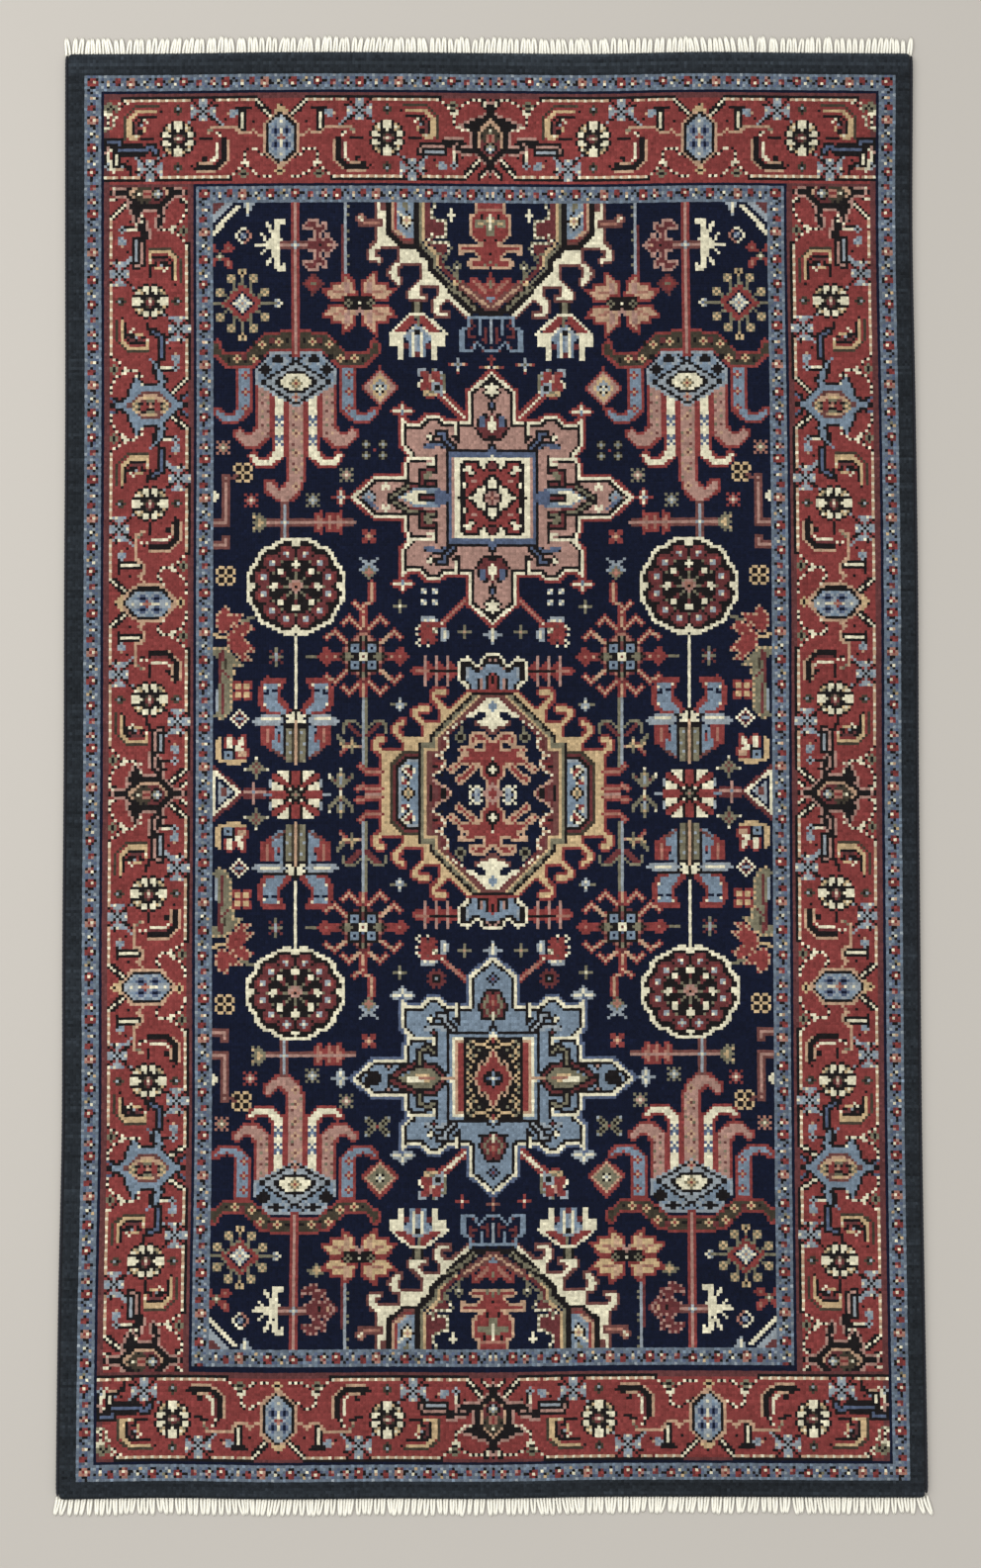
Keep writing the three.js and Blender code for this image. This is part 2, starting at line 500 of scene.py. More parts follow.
def hexagon_flower(loom):
    """A pearl hexagon set with four blue lozenges, its long axis across the border."""
    loom.shape(both_sides([(0, -8.6), (4.2, -4.6), (4.2, 4.6), (0, 8.6)]), "pkg", 2)
    for half in loom.halves():
        half.line([(5.2, -4), (5.2, 4)], "k")
        half.line([(6.2, -4), (6.2, 4.5)], "p")
    loom.chart(["...gg", "..bgi", ".bbgg", "bgsgg", "gsnsi", "gsnsi", "bgsgi", "bbgga"], fold="xy")
    loom.chart([".a", "ra"], 0, -1, fold="x")
    loom.shape([(0, -13), (-2.6, -9.8), (2.6, -9.8)], "y")
    loom.dots([(0, -12)], "k")
    loom.chart([".p", "pp"], 0, 9.5, fold="x")
    loom.chart([".yy.", "ykky"], 0, 12.3, fold="y")


# The two colourings of the palmette: its edge, its band, its lens's rings, half the lens's breadth and
# length, its claws' wool and light, and its heart
DARK = {
    "edge": "o", "band": "k", "lens": "kpel", "breadth": 5.2, "length": 8.6, "claws": "ki",
    "heart": [
        "...e...",
        "..eke..",
        ".eeiee.",
        "eeeveee",
        "kearaek",
        "eearaee",
        "learael",
        "ddkvkdd",
        "dkvgvkd",
        "dkgigkd",
        ".dkgkd.",
        "..ddd..",
    ],
}
BLUE = {
    "edge": "k", "band": "b", "lens": "bupy", "breadth": 6.2, "length": 9.8, "claws": "ks",
    "heart": [
        "..yvy..",
        ".yvyvy.",
        ".pkvkp.",
        "pukrrkp",
        "yurrrkp",
        "yvkrkvy",
        "yvapkvy",
        "yvkakvy",
        "prrrrup",
        ".prrru.",
        ".pkvkp.",
        ".yvyvy.",
        "..yvy..",
    ],
}


# How much of the lens's breadth is left where its slants start
LENS_SLANT = 0.7


def palmette(loom, wool):
    """A lens with a flower in it, claws at both tips and short arms, its long axis across the border."""
    wide, long = wool["breadth"], wool["length"]
    slant = wide * LENS_SLANT
    lens = both_sides([(0, -long), (-slant, -4.8), (-wide, -1.8), (-wide, 3.4), (-slant, 5.6),
                       (0, long)])
    claw, light = wool["claws"]
    for half in loom.halves():
        half.line([(0.5, 11), (2.6, 12), (4, 14.3)], claw, 1.6)
        half.line([(0.5, -11), (2.5, -12), (2.6, -14)], claw, 1.6)
        half.dots([(2.5, 12.5), (3.5, 13.5), (2, -12.5), (2.5, -13.5)], light)
    loom.dots([(0, 13.8), (0, -13.8)], claw, 1.6)
    for letter, grow in ((wool["edge"], 1.6), (wool["band"], 0)):
        for half in loom.halves():
            half.line([(5.5, 4), (8.3, 4.8), (12, 3.6)], letter, 1.8 + grow)
            half.shape([(3.6, -7.6), (10.6, -4.6), (wide, -1.6)], letter, grow / 2)
        loom.line([(0, -11.8), (0, 11.4)], letter, 2 + grow)
        loom.shape(lens, letter, 1 + grow / 2)
    loom.shape(lens, wool["lens"])
    loom.chart(wool["heart"])
    for half in loom.halves():
        half.beads([(11, -4.2), (10.8, -2.6), (8, -2.6)], "i.")


def guard(loom, length):
    """A storm blue band six knots wide, length knots long: a repeat of ten small flowers and buds."""
    rows = [
        "tbttbttgttttbttttbttgtttbtttbtbttttbtttttgtbtttt",
        "skrrtksttstdrsskoatsttsktkrrsstytgkrdtsbtsttskos",
        "trdrktktptkrrttarakttiktsrrdktvkstrirkktdrtgtort",
        "srirkbtsissdkgsaiokkgktbtdirskttisdrkstsrostkrik",
        "tkrdstgsktttsttkadststytgskkttsgttskttbtkttstskt",
        "bttbtttbttbttttbtttttbtttttbttttttbttbtttbtttbtt",
    ]
    step = len(rows[0])
    for start in range(0, length, step):
        stretch = min(step, length - start)
        loom.chart([row[:stretch] for row in rows], start + stretch / 2, 3)


# Field, the end quarters
def corner_piece(loom):
    """The field's corner is cut off by a white diagonal with a pearl band beside it."""
    loom.line([(-99, 60), (-93, 53.5)], "g", 2.4)
    loom.line([(-98.8, 65), (-90, 55.5)], "i", 1.5)
    loom.shape([(-99, 54), (-94.5, 54), (-99, 58)], "ld")
    loom.shape([(-88.5, 54), (-84, 54.5), (-86.5, 58.5)], "g")
    loom.line([(-86.5, 54.5), (-86.3, 57)], "i")


def edge_flower(loom):
    """Four brick petals set crosswise, the outer pair cut off by the field's edge."""
    middle = loom.at(-96.5, 73.3)
    for quarter in middle.quarters():
        quarter.shape([(0.8, -1), (1.5, -3.5), (3, -4.7), (4.6, -4.2), (5, -2.4), (3.4, -1)], "rao")
    middle.eye(0, 0, "vi")


def sunburst(loom):
    """A diamond round a star flower, with a ring of small clover buds on stalks."""
    middle = loom.at(-88.5, 90.5)
    bud = ["vyv", "yvy", "vyv"]
    for ray in middle.quarters():
        ray.line([(3.4, 4), (3.4, 7)], "v")
        ray.line([(5, 2), (7, 4)], "v")
        ray.chart(bud, 3.8, 8.6)
        ray.chart(bud, 7.6, 4.5)
        ray.line([(0, 7), (0, 10)], "v")
        ray.chart([".y", "yk", "yv"], 0, 11.5, fold="x")
    middle.line([(-10, 0), (12, 0)], "v")
    middle.chart(["gi.", "vsi"], 12.8, 0, fold="y")
    middle.diamond(0, 0, "rrn", 7.6, 7.6)
    middle.beads([(0, -7.3), (7.3, 0), (0, 7.3), (-7.3, 0), (0, -7.3)], "v.")
    middle.chart(["...i...", "..gig..", ".gigig.", "iigpgii"], fold="y")


def ivory_antlers(loom):
    """Branching ivory horns on one side of the stem."""
    for half in loom.levels(69.3):
        half.line([(-83, 0), (-75, 0)], "i", 1.5)
        half.shape([(-80.6, 0.5), (-79, -1.6), (-76.6, -2.4), (-74.4, -2), (-74.4, 0.5)], "i")
        half.line([(-75.5, -1.5), (-75.7, -5), (-76, -8.3), (-73.5, -8.5)], "i", 1.7)
        half.line([(-73.5, -7.5), (-73.5, -8.5)], "i")
        half.line([(-76.5, -2), (-79.6, -7.6)], "i", 1.3)
        half.line([(-80, -1), (-81.7, -3.4)], "i")


def red_antlers(loom):
    """Branching madder horns with a rose edge on the stem's other side."""
    for half in loom.levels(69.5):
        horn = [(-66, 0), (-65, -1.8), (-62.8, -2.5), (-62.8, -5.2), (-64, -6.5), (-66.2, -5.7),
                (-66.2, -7.7), (-64.5, -9.3), (-62, -9.5), (-61.4, -7.5), (-60.4, -6.7), (-60, -8),
                (-58.6, -8.2), (-58.4, -5.6), (-60.2, -4.3), (-60.6, -2.9), (-59.3, -2.5),
                (-58.3, -3.7), (-57, -3.7), (-56.8, -2.2), (-55.4, -1.5), (-54.6, 0)]
        if loom.near:
            half.shape(horn, "d", 0.3)
            half.beads(horn, "od")
        else:
            half.shape(horn, "od", 0.3)
    loom.line([(-65, 69.5), (-58.5, 69.5)], "d")
    loom.dots([(-60.5, 69.5)], "k", 1.6)
    loom.dots([(-57.5, 69.5)], "p", 1.5)


def stems(loom):
    """The upright bars that tie the field's end to the palmette."""
    loom.line([(-69.5, 53.5), (-69.5, 108)], "ro")
    loom.line([(-73.5, 69.5), (-66.5, 69.5)], "uo", 1)
    loom.line([(-74.5, 69.5), (-65.5, 69.5)], "o")
    loom.eye(-69.5, 69.5, "gi")
    loom.line([(-52.5, 62), (-52.5, 80)], "d")
    loom.line([(-51.5, 54), (-51.5, 80)], "g")
    loom.beads([(-50.5, 55), (-50.5, 78)], "v..v.....")
    if loom.near:
        loom.diamond(-61.5, 85, "vyk", 3, 3)
    else:
        loom.diamond(-63.3, 83.5, "drvg", 3.8, 3.9)
        loom.dots([(-63.3, 87)], "u")


def four_petal_flower(loom):
    """A wide flower of four hooked petals round a black seed pod."""
    middle = loom.at(-46.8, 90.2)
    petal = [(-0.8, -2.5), (-1.5, -7.5), (-6.3, -11.3), (-6.3, -7.3), (-10, -7.3), (-10, -5),
             (-13.3, -5), (-10, -0.8), (-6, -0.8), (-4, -2.5)]
    for half in middle.halves():
        # the lower pair of petals is a little longer
        for way in (1, -1.06):
            corner = half.at(0, 0, down=(0, way))
            corner.shape(petal, "ry" if loom.near else "rp", 0.3)
            corner.line([(-8.5, -3.6), (-5.5, -3.4)], "a")
            corner.line([(-4, -4), (-4, -6.6)], "p" if loom.near else "o", 2)
            corner.dots([(-6, -4.2), (-4.5, -8)], "a")
    middle.shape(both_sides([(-4.5, -2.2), (-6, 0), (-4.5, 2.2)]), "k")
    for half in middle.halves():
        half.eye(-4, 0, "vk")
    middle.line([(-1, 4), (0, 2.2), (1, 4)], "o")
    middle.dots([(0, 0)], "i")


HOOKED_BAND = [
    (-39.6, 53), (-39.6, 68.4), (-42, 70), (-43, 72), (-42.5, 75), (-39.4, 75.5), (-39.4, 74.3),
    (-41, 73.5), (-41, 71.8), (-39.3, 70.3), (-32.3, 70.3), (-32.3, 76), (-34.5, 77), (-35.8, 79.5),
    (-34.8, 81.5), (-32.6, 83.8), (-31.7, 82.3), (-33.8, 80), (-32.8, 77.6), (-31.5, 76.3),
    (-24.4, 76.3), (-24.4, 82), (-26.5, 84.3), (-28.7, 86.5), (-28.5, 88.6), (-26.8, 89), (-23, 88.8),
    (-23, 88), (-25.2, 87.6), (-25.7, 86), (-24.8, 84.2), (-23, 83.5), (-18, 83.5), (-18, 87.8),
    (-20, 90), (-20.4, 92.5), (-18.7, 94.9), (-15.2, 94.9), (-15.2, 94.1), (-18, 93.6), (-18.2, 91.5),
    (-16.3, 89.3), (-14.2, 88.9), (-7.5, 95.4), (-7, 94.7), (-14.7, 86.8), (-16, 84.3), (-22, 78.3),
    (-22, 75), (-25, 73), (-26, 70.8), (-31.3, 70.8), (-37.3, 64.6), (-37.3, 53)]


def end_medallion(loom):
    """Half a medallion against the end of the field: a hooked ivory band round stepped bands."""
    loom.shape(HOOKED_BAND, "ui", 1)
    loom.line([(-39.5, 61.2), (-45.5, 61.2)], "ua")
    loom.chart([".ua.", "uipu", "uaiu", ".uu."], -46, 59.8)
    loom.shape([(-38.3, 53), (-38.3, 56), (-37, 56), (-37, 53)], "u", 1)
    ground = [(-37.3, 53), (-37.3, 64.8), (-31.4, 70.7), (-26, 70.7), (-24.9, 73.2), (-21.9, 75.2),
              (-21.9, 78.3), (-15.9, 84.3), (-14.6, 87), (-6, 95.2), (12, 95.2), (12, 40), (-37, 40)]
    loom.shape(ground, "kken")
    loom.line([(-26.5, 53), (-26.5, 69.5), (-25, 70.5), (-22.5, 73), (-20.7, 77), (-5, 93.2)], "k", 2)
    loom.line([(-15, 83.5), (-10, 87.2), (-5, 92)], "v", 2)
    loom.line([(-16, 82.5), (-12, 84.6), (-4.2, 92.7), (0.5, 92.7)], "k", 1.4)
    loom.line([(-24.9, 53), (-24.9, 68.5), (-22.6, 71), (-20.5, 72), (-19.4, 74.5), (-19.4, 77),
               (-13, 84)], "v")
    loom.line([(-23.9, 53), (-23.9, 67.5), (-21.6, 70), (-19.5, 71.2), (-18.4, 74), (-18.4, 76.5),
               (-12, 83)], "y")
    loom.line([(-22.9, 53), (-22.9, 66.5), (-20.8, 69)], "u")
    loom.line([(-21.9, 53), (-21.9, 66), (-20, 68.3)], "d", 1.4)
    loom.line([(-12.5, 83), (-8.5, 84.3), (-0.5, 91.5), (0.5, 91.5)], "y")
    loom.line([(-11.5, 82.5), (-7.5, 83.8), (0.5, 90.5)], "r", 1.5)
    loom.beads([(-10.5, 86.5), (-6, 91.5)], "v.")
    # the side panel
    loom.shape([(-35.3, 53), (-35.3, 63.7), (-30.8, 69), (-27, 69), (-27, 53)], "urb")
    loom.line([(-34.2, 53), (-34.2, 63), (-31, 66.5)], "p")
    loom.chart([
        "gbvvbb",
        "gbvvgb",
        "bbbvgb",
        "igbkbb",
        "gigbkb",
        "bkiyib",
        "bkyoyk",
        "gkiyig",
        "bgkikb",
        "bbgkgb",
        ".gbbgb",
        "..gbbb",
        "...gbb",
    ], -30, 60)
    # madder lobes standing into the navy
    loom.shape([(-22, 55), (-19.8, 57), (-20.8, 58.5), (-18.5, 61), (-15.4, 61), (-15.4, 66.8),
                (-19.5, 66.8), (-21.5, 64)], "d")
    loom.beads([(-20, 54), (-19.3, 55.5), (-20.8, 57), (-20.5, 59.3), (-18, 60.8), (-15.4, 61),
                (-15.4, 66.6), (-18.5, 66.8)], "iv")
    loom.beads([(-20.5, 65.5), (-21.3, 67), (-20.5, 68.6), (-14.8, 68.7), (-13.6, 70), (-14.5, 72)],
               "iv")
    loom.shape([(-20, 69.3), (-14.6, 69.3), (-15, 71.5), (-17, 73.5), (-18.5, 71.5)], "d")
    loom.line([(-18.5, 72), (-16, 73.5), (-16.4, 76.4), (-14, 78.5), (-11, 82)], "v")
    loom.line([(-17.4, 73.5), (-17.4, 76.4), (-13, 81.5)], "d", 1.4)


def end_figure(loom):
    """The red figure in the half medallion: a round head on spread arms, a tulip under it."""
    body = [(12, 45), (-4.5, 45), (-4.5, 57), (-6.5, 58.5), (-7.3, 60), (-7.3, 64.5), (-5, 68),
            (-3, 69), (-11.3, 69), (-11.3, 73), (-10, 73), (-9, 72), (-5.5, 72), (-3.5, 74.5), (-6, 74),
            (-8, 75.8), (-6.3, 77.8), (12, 77.8)]
    loom.shape(body, "pr", 0)
    loom.line([(-3.5, 53.5), (0.5, 53.5)], "d")
    loom.line([(-3.7, 56.5), (0.5, 56.5)], "a")
    loom.shape([(0.5, 58.5), (-2, 60.5), (-4.5, 60.5), (-4.5, 62.8), (-2.5, 62.5), (-0.5, 62),
                (-0.5, 66), (0.5, 66)], "vy")
    loom.line([(0.5, 58.3), (0.5, 63)], "i")
    loom.dots([(-2.6, 58.7), (-1.5, 67.5)], "k", 1.6)
    loom.dots([(0.5, 72.5)], "k", 1.4)
    loom.dots([(-1.5, 76.5), (0.5, 75.5)], "v", 1.4)
    loom.dots([(0.5, 78)], "n", 1.4)
    loom.chart([".v", "vn", "vi", ".v", ".v"], -11.3, 77, fold="x")
    loom.eye(-13.2, 58.2, "ii")
    loom.line([(-13.2, 56.3), (-13.2, 60.3)], "i")
    # the tulip at the tip
    loom.line([(-5.5, 82), (0.5, 87.5)], "ra", 1)
    loom.shape([(0.5, 79.5), (-1.6, 83), (-0.8, 87), (-2.5, 88.5), (0.5, 91)], "rap")
    loom.line([(-9.5, 84), (-1, 91.5)], "up", 1)
    loom.dots([(0.5, 82.5), (0.5, 84)], "v", 1.4)
    loom.dots([(0.5, 88.6)], "b", 2)


def crown(loom):
    """The finial at a medallion's tip: a scalloped sky outline with madder leaves in it."""
    loom.shape([(0.5, 0.5), (-6.5, 0.5), (-8, 4), (-10.5, 5), (-10.5, 12.8), (-7, 12.8), (-4.7, 9.8),
                (-2, 13), (0.5, 13.3)], "ln")
    loom.shape([(-2.5, 1), (-8, 5.5), (-8, 8), (-4, 7.5), (0.5, 11)], "d")
    loom.line([(-5, 0), (-4.5, 4), (-6, 6)], "n", 1.4)
    loom.line([(-7.5, 0), (-8, 3.5), (-10.3, 5), (-10.3, 12.8), (-7, 12.8), (-4.5, 9.7), (-2, 12.8),
               (0.5, 12.8)], "b")
    loom.line([(-9.8, 5), (-9.8, 12)], "b")
    loom.line([(-3.4, 1), (-3.4, 6)], "nb")
    loom.line([(0.5, 1), (0.5, 9)], "ng")
    loom.line([(-6.5, 0.5), (0.5, 0.5)], "b")


def bell(loom):
    """A pendant with a red roof, a sky body and ivory wings."""
    middle = loom.at(-26, 94)
    for half in middle.halves():
        half.line([(-0.9, -4), (-0.9, 1)], "v")
        half.line([(-1.4, -4), (-1.4, 0)], "k", 0.8)
    wing = [(-9.8, 8), (-10, 12), (-7, 12), (-6.8, 16.5), (-4.8, 16.5), (-4.8, 8)]
    for half in middle.halves():
        half.shape(wing, "i")
    middle.shape([(0, 4), (-4.8, 9), (-2.8, 11), (-3.4, 16), (3.4, 16), (3.4, 11), (5, 9)], "b", 0)
    for half in middle.halves():
        half.line([(-2.3, 0.4), (-10, 7.8), (-4, 7.8), (0, 4)], "i")
        half.shape([(-1, 1.3), (-2.5, 1.4), (-8, 7), (-4.5, 7), (-0.5, 3.4)], "r")
        half.line([(-4.2, 8), (-1, 5), (-1, 15)], "g")
        half.line([(-1.6, 7), (-1.6, 15)], "i", 0.8)
        half.dots([(-3.9, 12)], "d", 1.6)
    middle.line([(0, -1), (0, 4)], "v")
    middle.line([(-2.5, 0.4), (2.5, 0.4)], "i")
    middle.dots([(0, 7)], "k", 1.6)
    middle.dots([(0, 15.3)], "d", 2.4)


def palmette_hood(loom):
    """A dark scalloped band over the palmette, set with ringed diamonds."""
    for half in loom.at(-69.5, 0).halves():
        band = [(0, 100.5), (-11, 100.7), (-14.5, 104.5), (-18, 108), (-25.5, 108), (-27.5, 103.5),
                (-28.5, 103), (-30.5, 106), (-30.5, 109), (-28, 110.5), (-25, 113.5), (-15, 113.5),
                (-12.5, 111), (-8, 107.5), (0, 107.5)]
        half.shape(band, "re")
        for x, y in ((-5.7, 104), (-12, 105.2), (-15.5, 110), (-21, 110.8)):
            half.eye(x, y, "yr")
            half.dots([(x - 3, y), (x + 3, y)], "k", 1.6)
        half.dots([(-8.5, 104), (-18.5, 110)], "d", 2)


def big_palmette(loom):
    """The great leaf palmette: a latticed head over a nested lozenge and curling arms."""
    middle = loom.at(-69.5, 119)
    for half in middle.halves():
        half.shape([(15.4, -5.5), (21.4, -5.5), (21.4, 8), (22, 10.6), (24, 11.2), (26.6, 10.2),
                    (27, 8.8), (29, 9), (29, 12), (26.5, 14.8), (20.5, 14.8), (15.4, 10)], "rb")
        half.shape([(8.4, 0), (14.4, 0), (14.4, 16), (16, 18.6), (18, 18.4), (20, 16.4), (22.2, 17.5),
                    (22.2, 19.5), (18, 23.6), (13.5, 23.8), (8.4, 19)], "ro", 0.2)
        half.shape([(3.5, 5), (8.5, 4), (8.5, 24.5), (10, 27.2), (13, 27.4), (15, 24.8), (16.9, 26),
                    (16.3, 28.6), (13.6, 30.7), (8.5, 30.7), (3.5, 26)], "ri", 0.3)
        for y in (-2.7, 3.2, 9):
            half.eye(18.5, y, "rp")
        half.beads([(10.5, 2), (10.5, 19)], "u..p.v..")
        half.beads([(12.5, 3), (12.5, 19)], ".v..u..p")
        for y in (14.3, 20.8):
            half.chart(["s.", "sb", ".s", "s."], 6, y, fold="x")
    middle.shape([(-2.5, 6), (2.5, 6), (3, 34), (0.5, 40), (-3.5, 43.5), (-7, 42), (-11, 38.5),
                  (-10.6, 36), (-8.6, 36), (-6.2, 38.8), (-4, 38), (-2.5, 35)], "ro", 0.8)
    for y in (12, 18.5, 25, 31.5, 37):
        middle.eye(0, y, "pu")
    middle.beads([(-1.5, 10), (-1.5, 34)], "v....u.")
    middle.beads([(1.5, 13), (1.5, 34)], "p....v..")
    middle.shape(both_sides([(8.5, -11), (14.8, -4), (14.8, 0.5), (0, 9)]), "gb")
    for half in middle.halves():
        half.line([(-14, -3), (-5, -9), (0, -5.5)], "g")
        half.line([(-9, -10), (0, -3.5)], "g")
        half.diamond(-6.5, -8.3, "k", 2.5, 2)
        half.diamond(-11, -4.8, "k", 2.6, 2.4)
        half.line([(-2.5, -9.5), (0, -7.5)], "k")
    middle.shape([(-13, 0), (0, -8), (13, 0), (0, 8.3)], "kggkgb")
    middle.shape([(-8, 0), (-3, -3.9), (3, -3.9), (8, 0), (3, 3.6), (-3, 3.6)], "ki")
    middle.chart(["..v", ".vy", "vyr"], fold="xy")
    middle.chart([".p", "or"], 0, 5.8, fold="xy")


def round_rosette(loom):
    """A round flower: a scalloped white ring, madder petals with pearl seeds, and a rose heart."""
    middle = loom.at(-69.5, 192.3)
    turns = np.linspace(0, 2 * np.pi, 96, endpoint=False)

    def ring(radius, scallop=0.0):
        reach = radius + scallop * np.abs(np.sin(turns * 6))
        return np.stack([reach * np.cos(turns), reach * np.sin(turns)], axis=1)

    def spots(count, radius, turn=0.0):
        angles = (np.arange(count) + turn) * 2 * np.pi / count
        return np.stack([radius * np.cos(angles), radius * np.sin(angles)], axis=1)

    middle.shape(ring(16.9, 0.9), "i")
    middle.shape(ring(15.5, 0.9), "k")
    middle.dots(spots(4, 15.3), "i", 2.2)
    middle.dots(spots(12, 12, 0.5), "d", 5.9)
    middle.dots(spots(12, 13.6, 0.5), "r", 1.6)
    middle.dots(spots(12, 12, 0.5), "g", 2.2)
    middle.dots(spots(12, 12, 0.5), "i")
    middle.shape(ring(9.7), "k")
    middle.dots(spots(8, 5.8), "d", 2)
    middle.dots(spots(8, 7.8), "i", 2.6)
    middle.dots(spots(12, 9.8), "v")
    for spot in spots(8, 4.4):
        middle.line([(0, 0), spot], "v")
    middle.shape(ring(2.2), "oa")
    middle.dots([(0, 0)], "k")


STAR_EDGE = [
    (0.5, 115), (-7.8, 122.3), (-7.8, 133.5), (-15.8, 133.5), (-18.6, 131), (-22.6, 131), (-25.4, 134),
    (-29.5, 134), (-31.8, 131.8), (-31.8, 142), (-29, 145), (-30.5, 148), (-30.5, 153), (-41.3, 153),
    (-49.6, 160.5)]


def star_ground(loom, wools, dark):
    """The ground of a star medallion with its layered edge, from one quarter of its outline."""
    lower = [(x, 2 * STAR_MIDDLE - y) for x, y in STAR_EDGE]
    left = STAR_EDGE + lower[-2::-1]
    right = [(1 - x, y) for x, y in left[1:-1]][::-1]
    loom.shape(left + right, wools, 1)
    for half in loom.levels(STAR_MIDDLE):
        half.line([(-30, -14.5), (-21, -14.5), (-21, -12.5), (-23, -12.5)], "i")
        half.line([(-29, -13.5), (-24, -13.5)], dark)
        half.line([(-19.8, -15.5), (-19.8, -12)], dark)
        half.line([(-12.5, -27), (-12.5, -22)], "i")
        half.line([(-11.5, -27), (-11.5, -20.5)], dark)
        half.line([(-13.5, -22), (-12, -21)], dark)


def star_square(middle, layers, arm):
    """The square frame at a star's heart, with a node towards each arm and a hook at each corner."""
    for quarter in middle.quarters():
        quarter.line([(24, 18.5), (18.5, 19.5), (14, 16.6)], "k", 2)
        quarter.line([(23.5, 18.2), (18.5, 19.2), (13.5, 16)], arm, 1.4)
        quarter.line([(19, 23.2), (17.3, 23.2), (17, 21), (14, 18)], "k" + arm, 0.8)
        quarter.chart([".k.", "kik", "kii", ".k."], 22, 22)
    node = [(0, -20), (2.5, -17.3), (16.3, -17.3), (16.3, -2.5), (19, 0)]
    middle.shape(both_sides(both_levels(node)), layers)


def rose_star(loom):
    """The far half's star medallion: rose ground, an eight-petalled white star in its square."""
    star_ground(loom, "riko", "k")
    middle = loom.at(0.5, STAR_MIDDLE)
    star_square(middle, "kssiikr", "s")
    for half in middle.halves():
        half.line([(14.4, -14), (14.4, 14)], "o")
    middle.chart([
        "kkkkkkiiikd",
        "krrrrkiikdd",
        "kiirrkkikdd",
        "iiikrrrkrkk",
        "kriikrrrrrr",
        "krkkrrrrrkk",
        "krrrrrrrkki",
        "krroorrkkii",
        "ikrrrrrkkii",
        "ikrrrkkikii",
        "krrrkiiikkk",
        "krrkkiiikou",
        "krkkiiikoou",
        "kkiiiiikuua",
    ], fold="xy")
    for half in middle.halves():
        half.chart([".kg", "kgb", "gbo"], 44, 0, fold="xy")
        half.line([(41, 4), (45, 1)], "s")
        for wing in half.levels():
            wing.chart(["i.", "ii", ".i"], 38.5, 4, fold="x")
            wing.line([(36.5, 0.5), (30, 4.5), (21, 5.5)], "kv", 1)
            wing.line([(29.5, 4), (21, 5)], "d")
            wing.line([(25.5, 5.5), (25.5, 9.5), (21.5, 10.3)], "kd", 1)
            wing.line([(23.5, 7.5), (22, 8.5)], "v", 2)
        half.shape(both_levels([(19, -3.4), (27.5, -3.4), (33, 0)]), "b")
        half.shape(both_levels([(24, -2.2), (27.8, -2), (32, 0)]), "i")
        half.line([(21, 0), (25.5, 0)], "kd", 1)
        half.shape(both_levels([(16.2, -1.8), (19, -3.2), (21, -1.8), (20, 0)]), "s")
    for arm in middle.levels():
        arm.chart(["..kk", ".kki", "kiii", ".kii"], 0, -39, fold="xy")
        arm.shape([(0, -36), (1.8, -33), (0, -30.5), (-1.8, -33)], "ks")
        for half in arm.halves():
            half.shape([(2.2, -31), (5.2, -28.5), (5, -26), (7, -25.5), (3, -20.5), (0, -20)], "kd")
            half.shape([(3.5, -30), (5, -27.5), (3.5, -25), (2.4, -27.5)], "s")
        arm.shape([(0, -30), (1.8, -27), (1.2, -23.5), (-1.2, -23.5), (-1.8, -27)], "di", 0.6)
        arm.eye(0, -21.3, "kk")


def blue_star(loom):
    """The near half's star medallion: sky ground, a red lobed star in its square."""
    star_ground(loom, "sikb", "k")
    middle = loom.at(0.5, STAR_MIDDLE)
    star_square(middle, "kbiprrk", "g")
    middle.chart([
        "kkkkkkkkkyr",
        "kkvykkkkykr",
        "kvkkyyyykkk",
        "kykvkkkkyyk",
        "kkykkvkkkkp",
        "kvykkkkkkpr",
        "kykvykkkkpr",
        "kkykkkkkprr",
        "kkkykkpkprr",
        "kvkkkpkprrr",
        "kkykkprrrrr",
        "kvkkkprrrrk",
        "kykkprrrkkb",
        "kkykprrkkkb",
        "kykprrrksgi",
    ], fold="xy")
    for half in middle.halves():
        half.shape(both_levels([(39.4, 0), (40.5, -2.4), (44, -2.4), (45.4, 0)]), "k")
        for wing in half.levels():
            wing.eye(37.5, 4.2, "ko")
            wing.line([(36, 0.5), (32, 3.5), (27, 5.4), (21, 4.8), (18.5, 1)], "kd", 1)
            wing.line([(26, 6), (26.5, 9.5), (23, 11.5), (21.5, 9.5)], "kv", 1)
            wing.eye(21.5, 17.5, "kd")
        half.shape(both_levels([(18.5, 0), (22, -3.6), (27, -3.8), (33.5, 0)]), "vvy")
        half.line([(25, 0), (30, 0)], "i", 2)
        half.line([(21, 0), (26, 0)], "a")
        half.line([(15.5, 0), (18.5, 0)], "p")
    for arm in middle.levels():
        arm.chart(["..k", ".ks", "ksd"], 0, -37.5, fold="xy")
        for half in arm.halves():
            half.shape([(0, -33), (2.5, -33.5), (3.8, -30), (5.5, -27), (4.5, -24), (5, -22.5),
                        (0, -21)], "kd")
            half.line([(2, -30), (3, -26.5), (1.5, -23.5)], "v")
        arm.diamond(0, -28, "ra", 1.6, 3)
        arm.line([(0, -24.5), (0, -22)], "i")


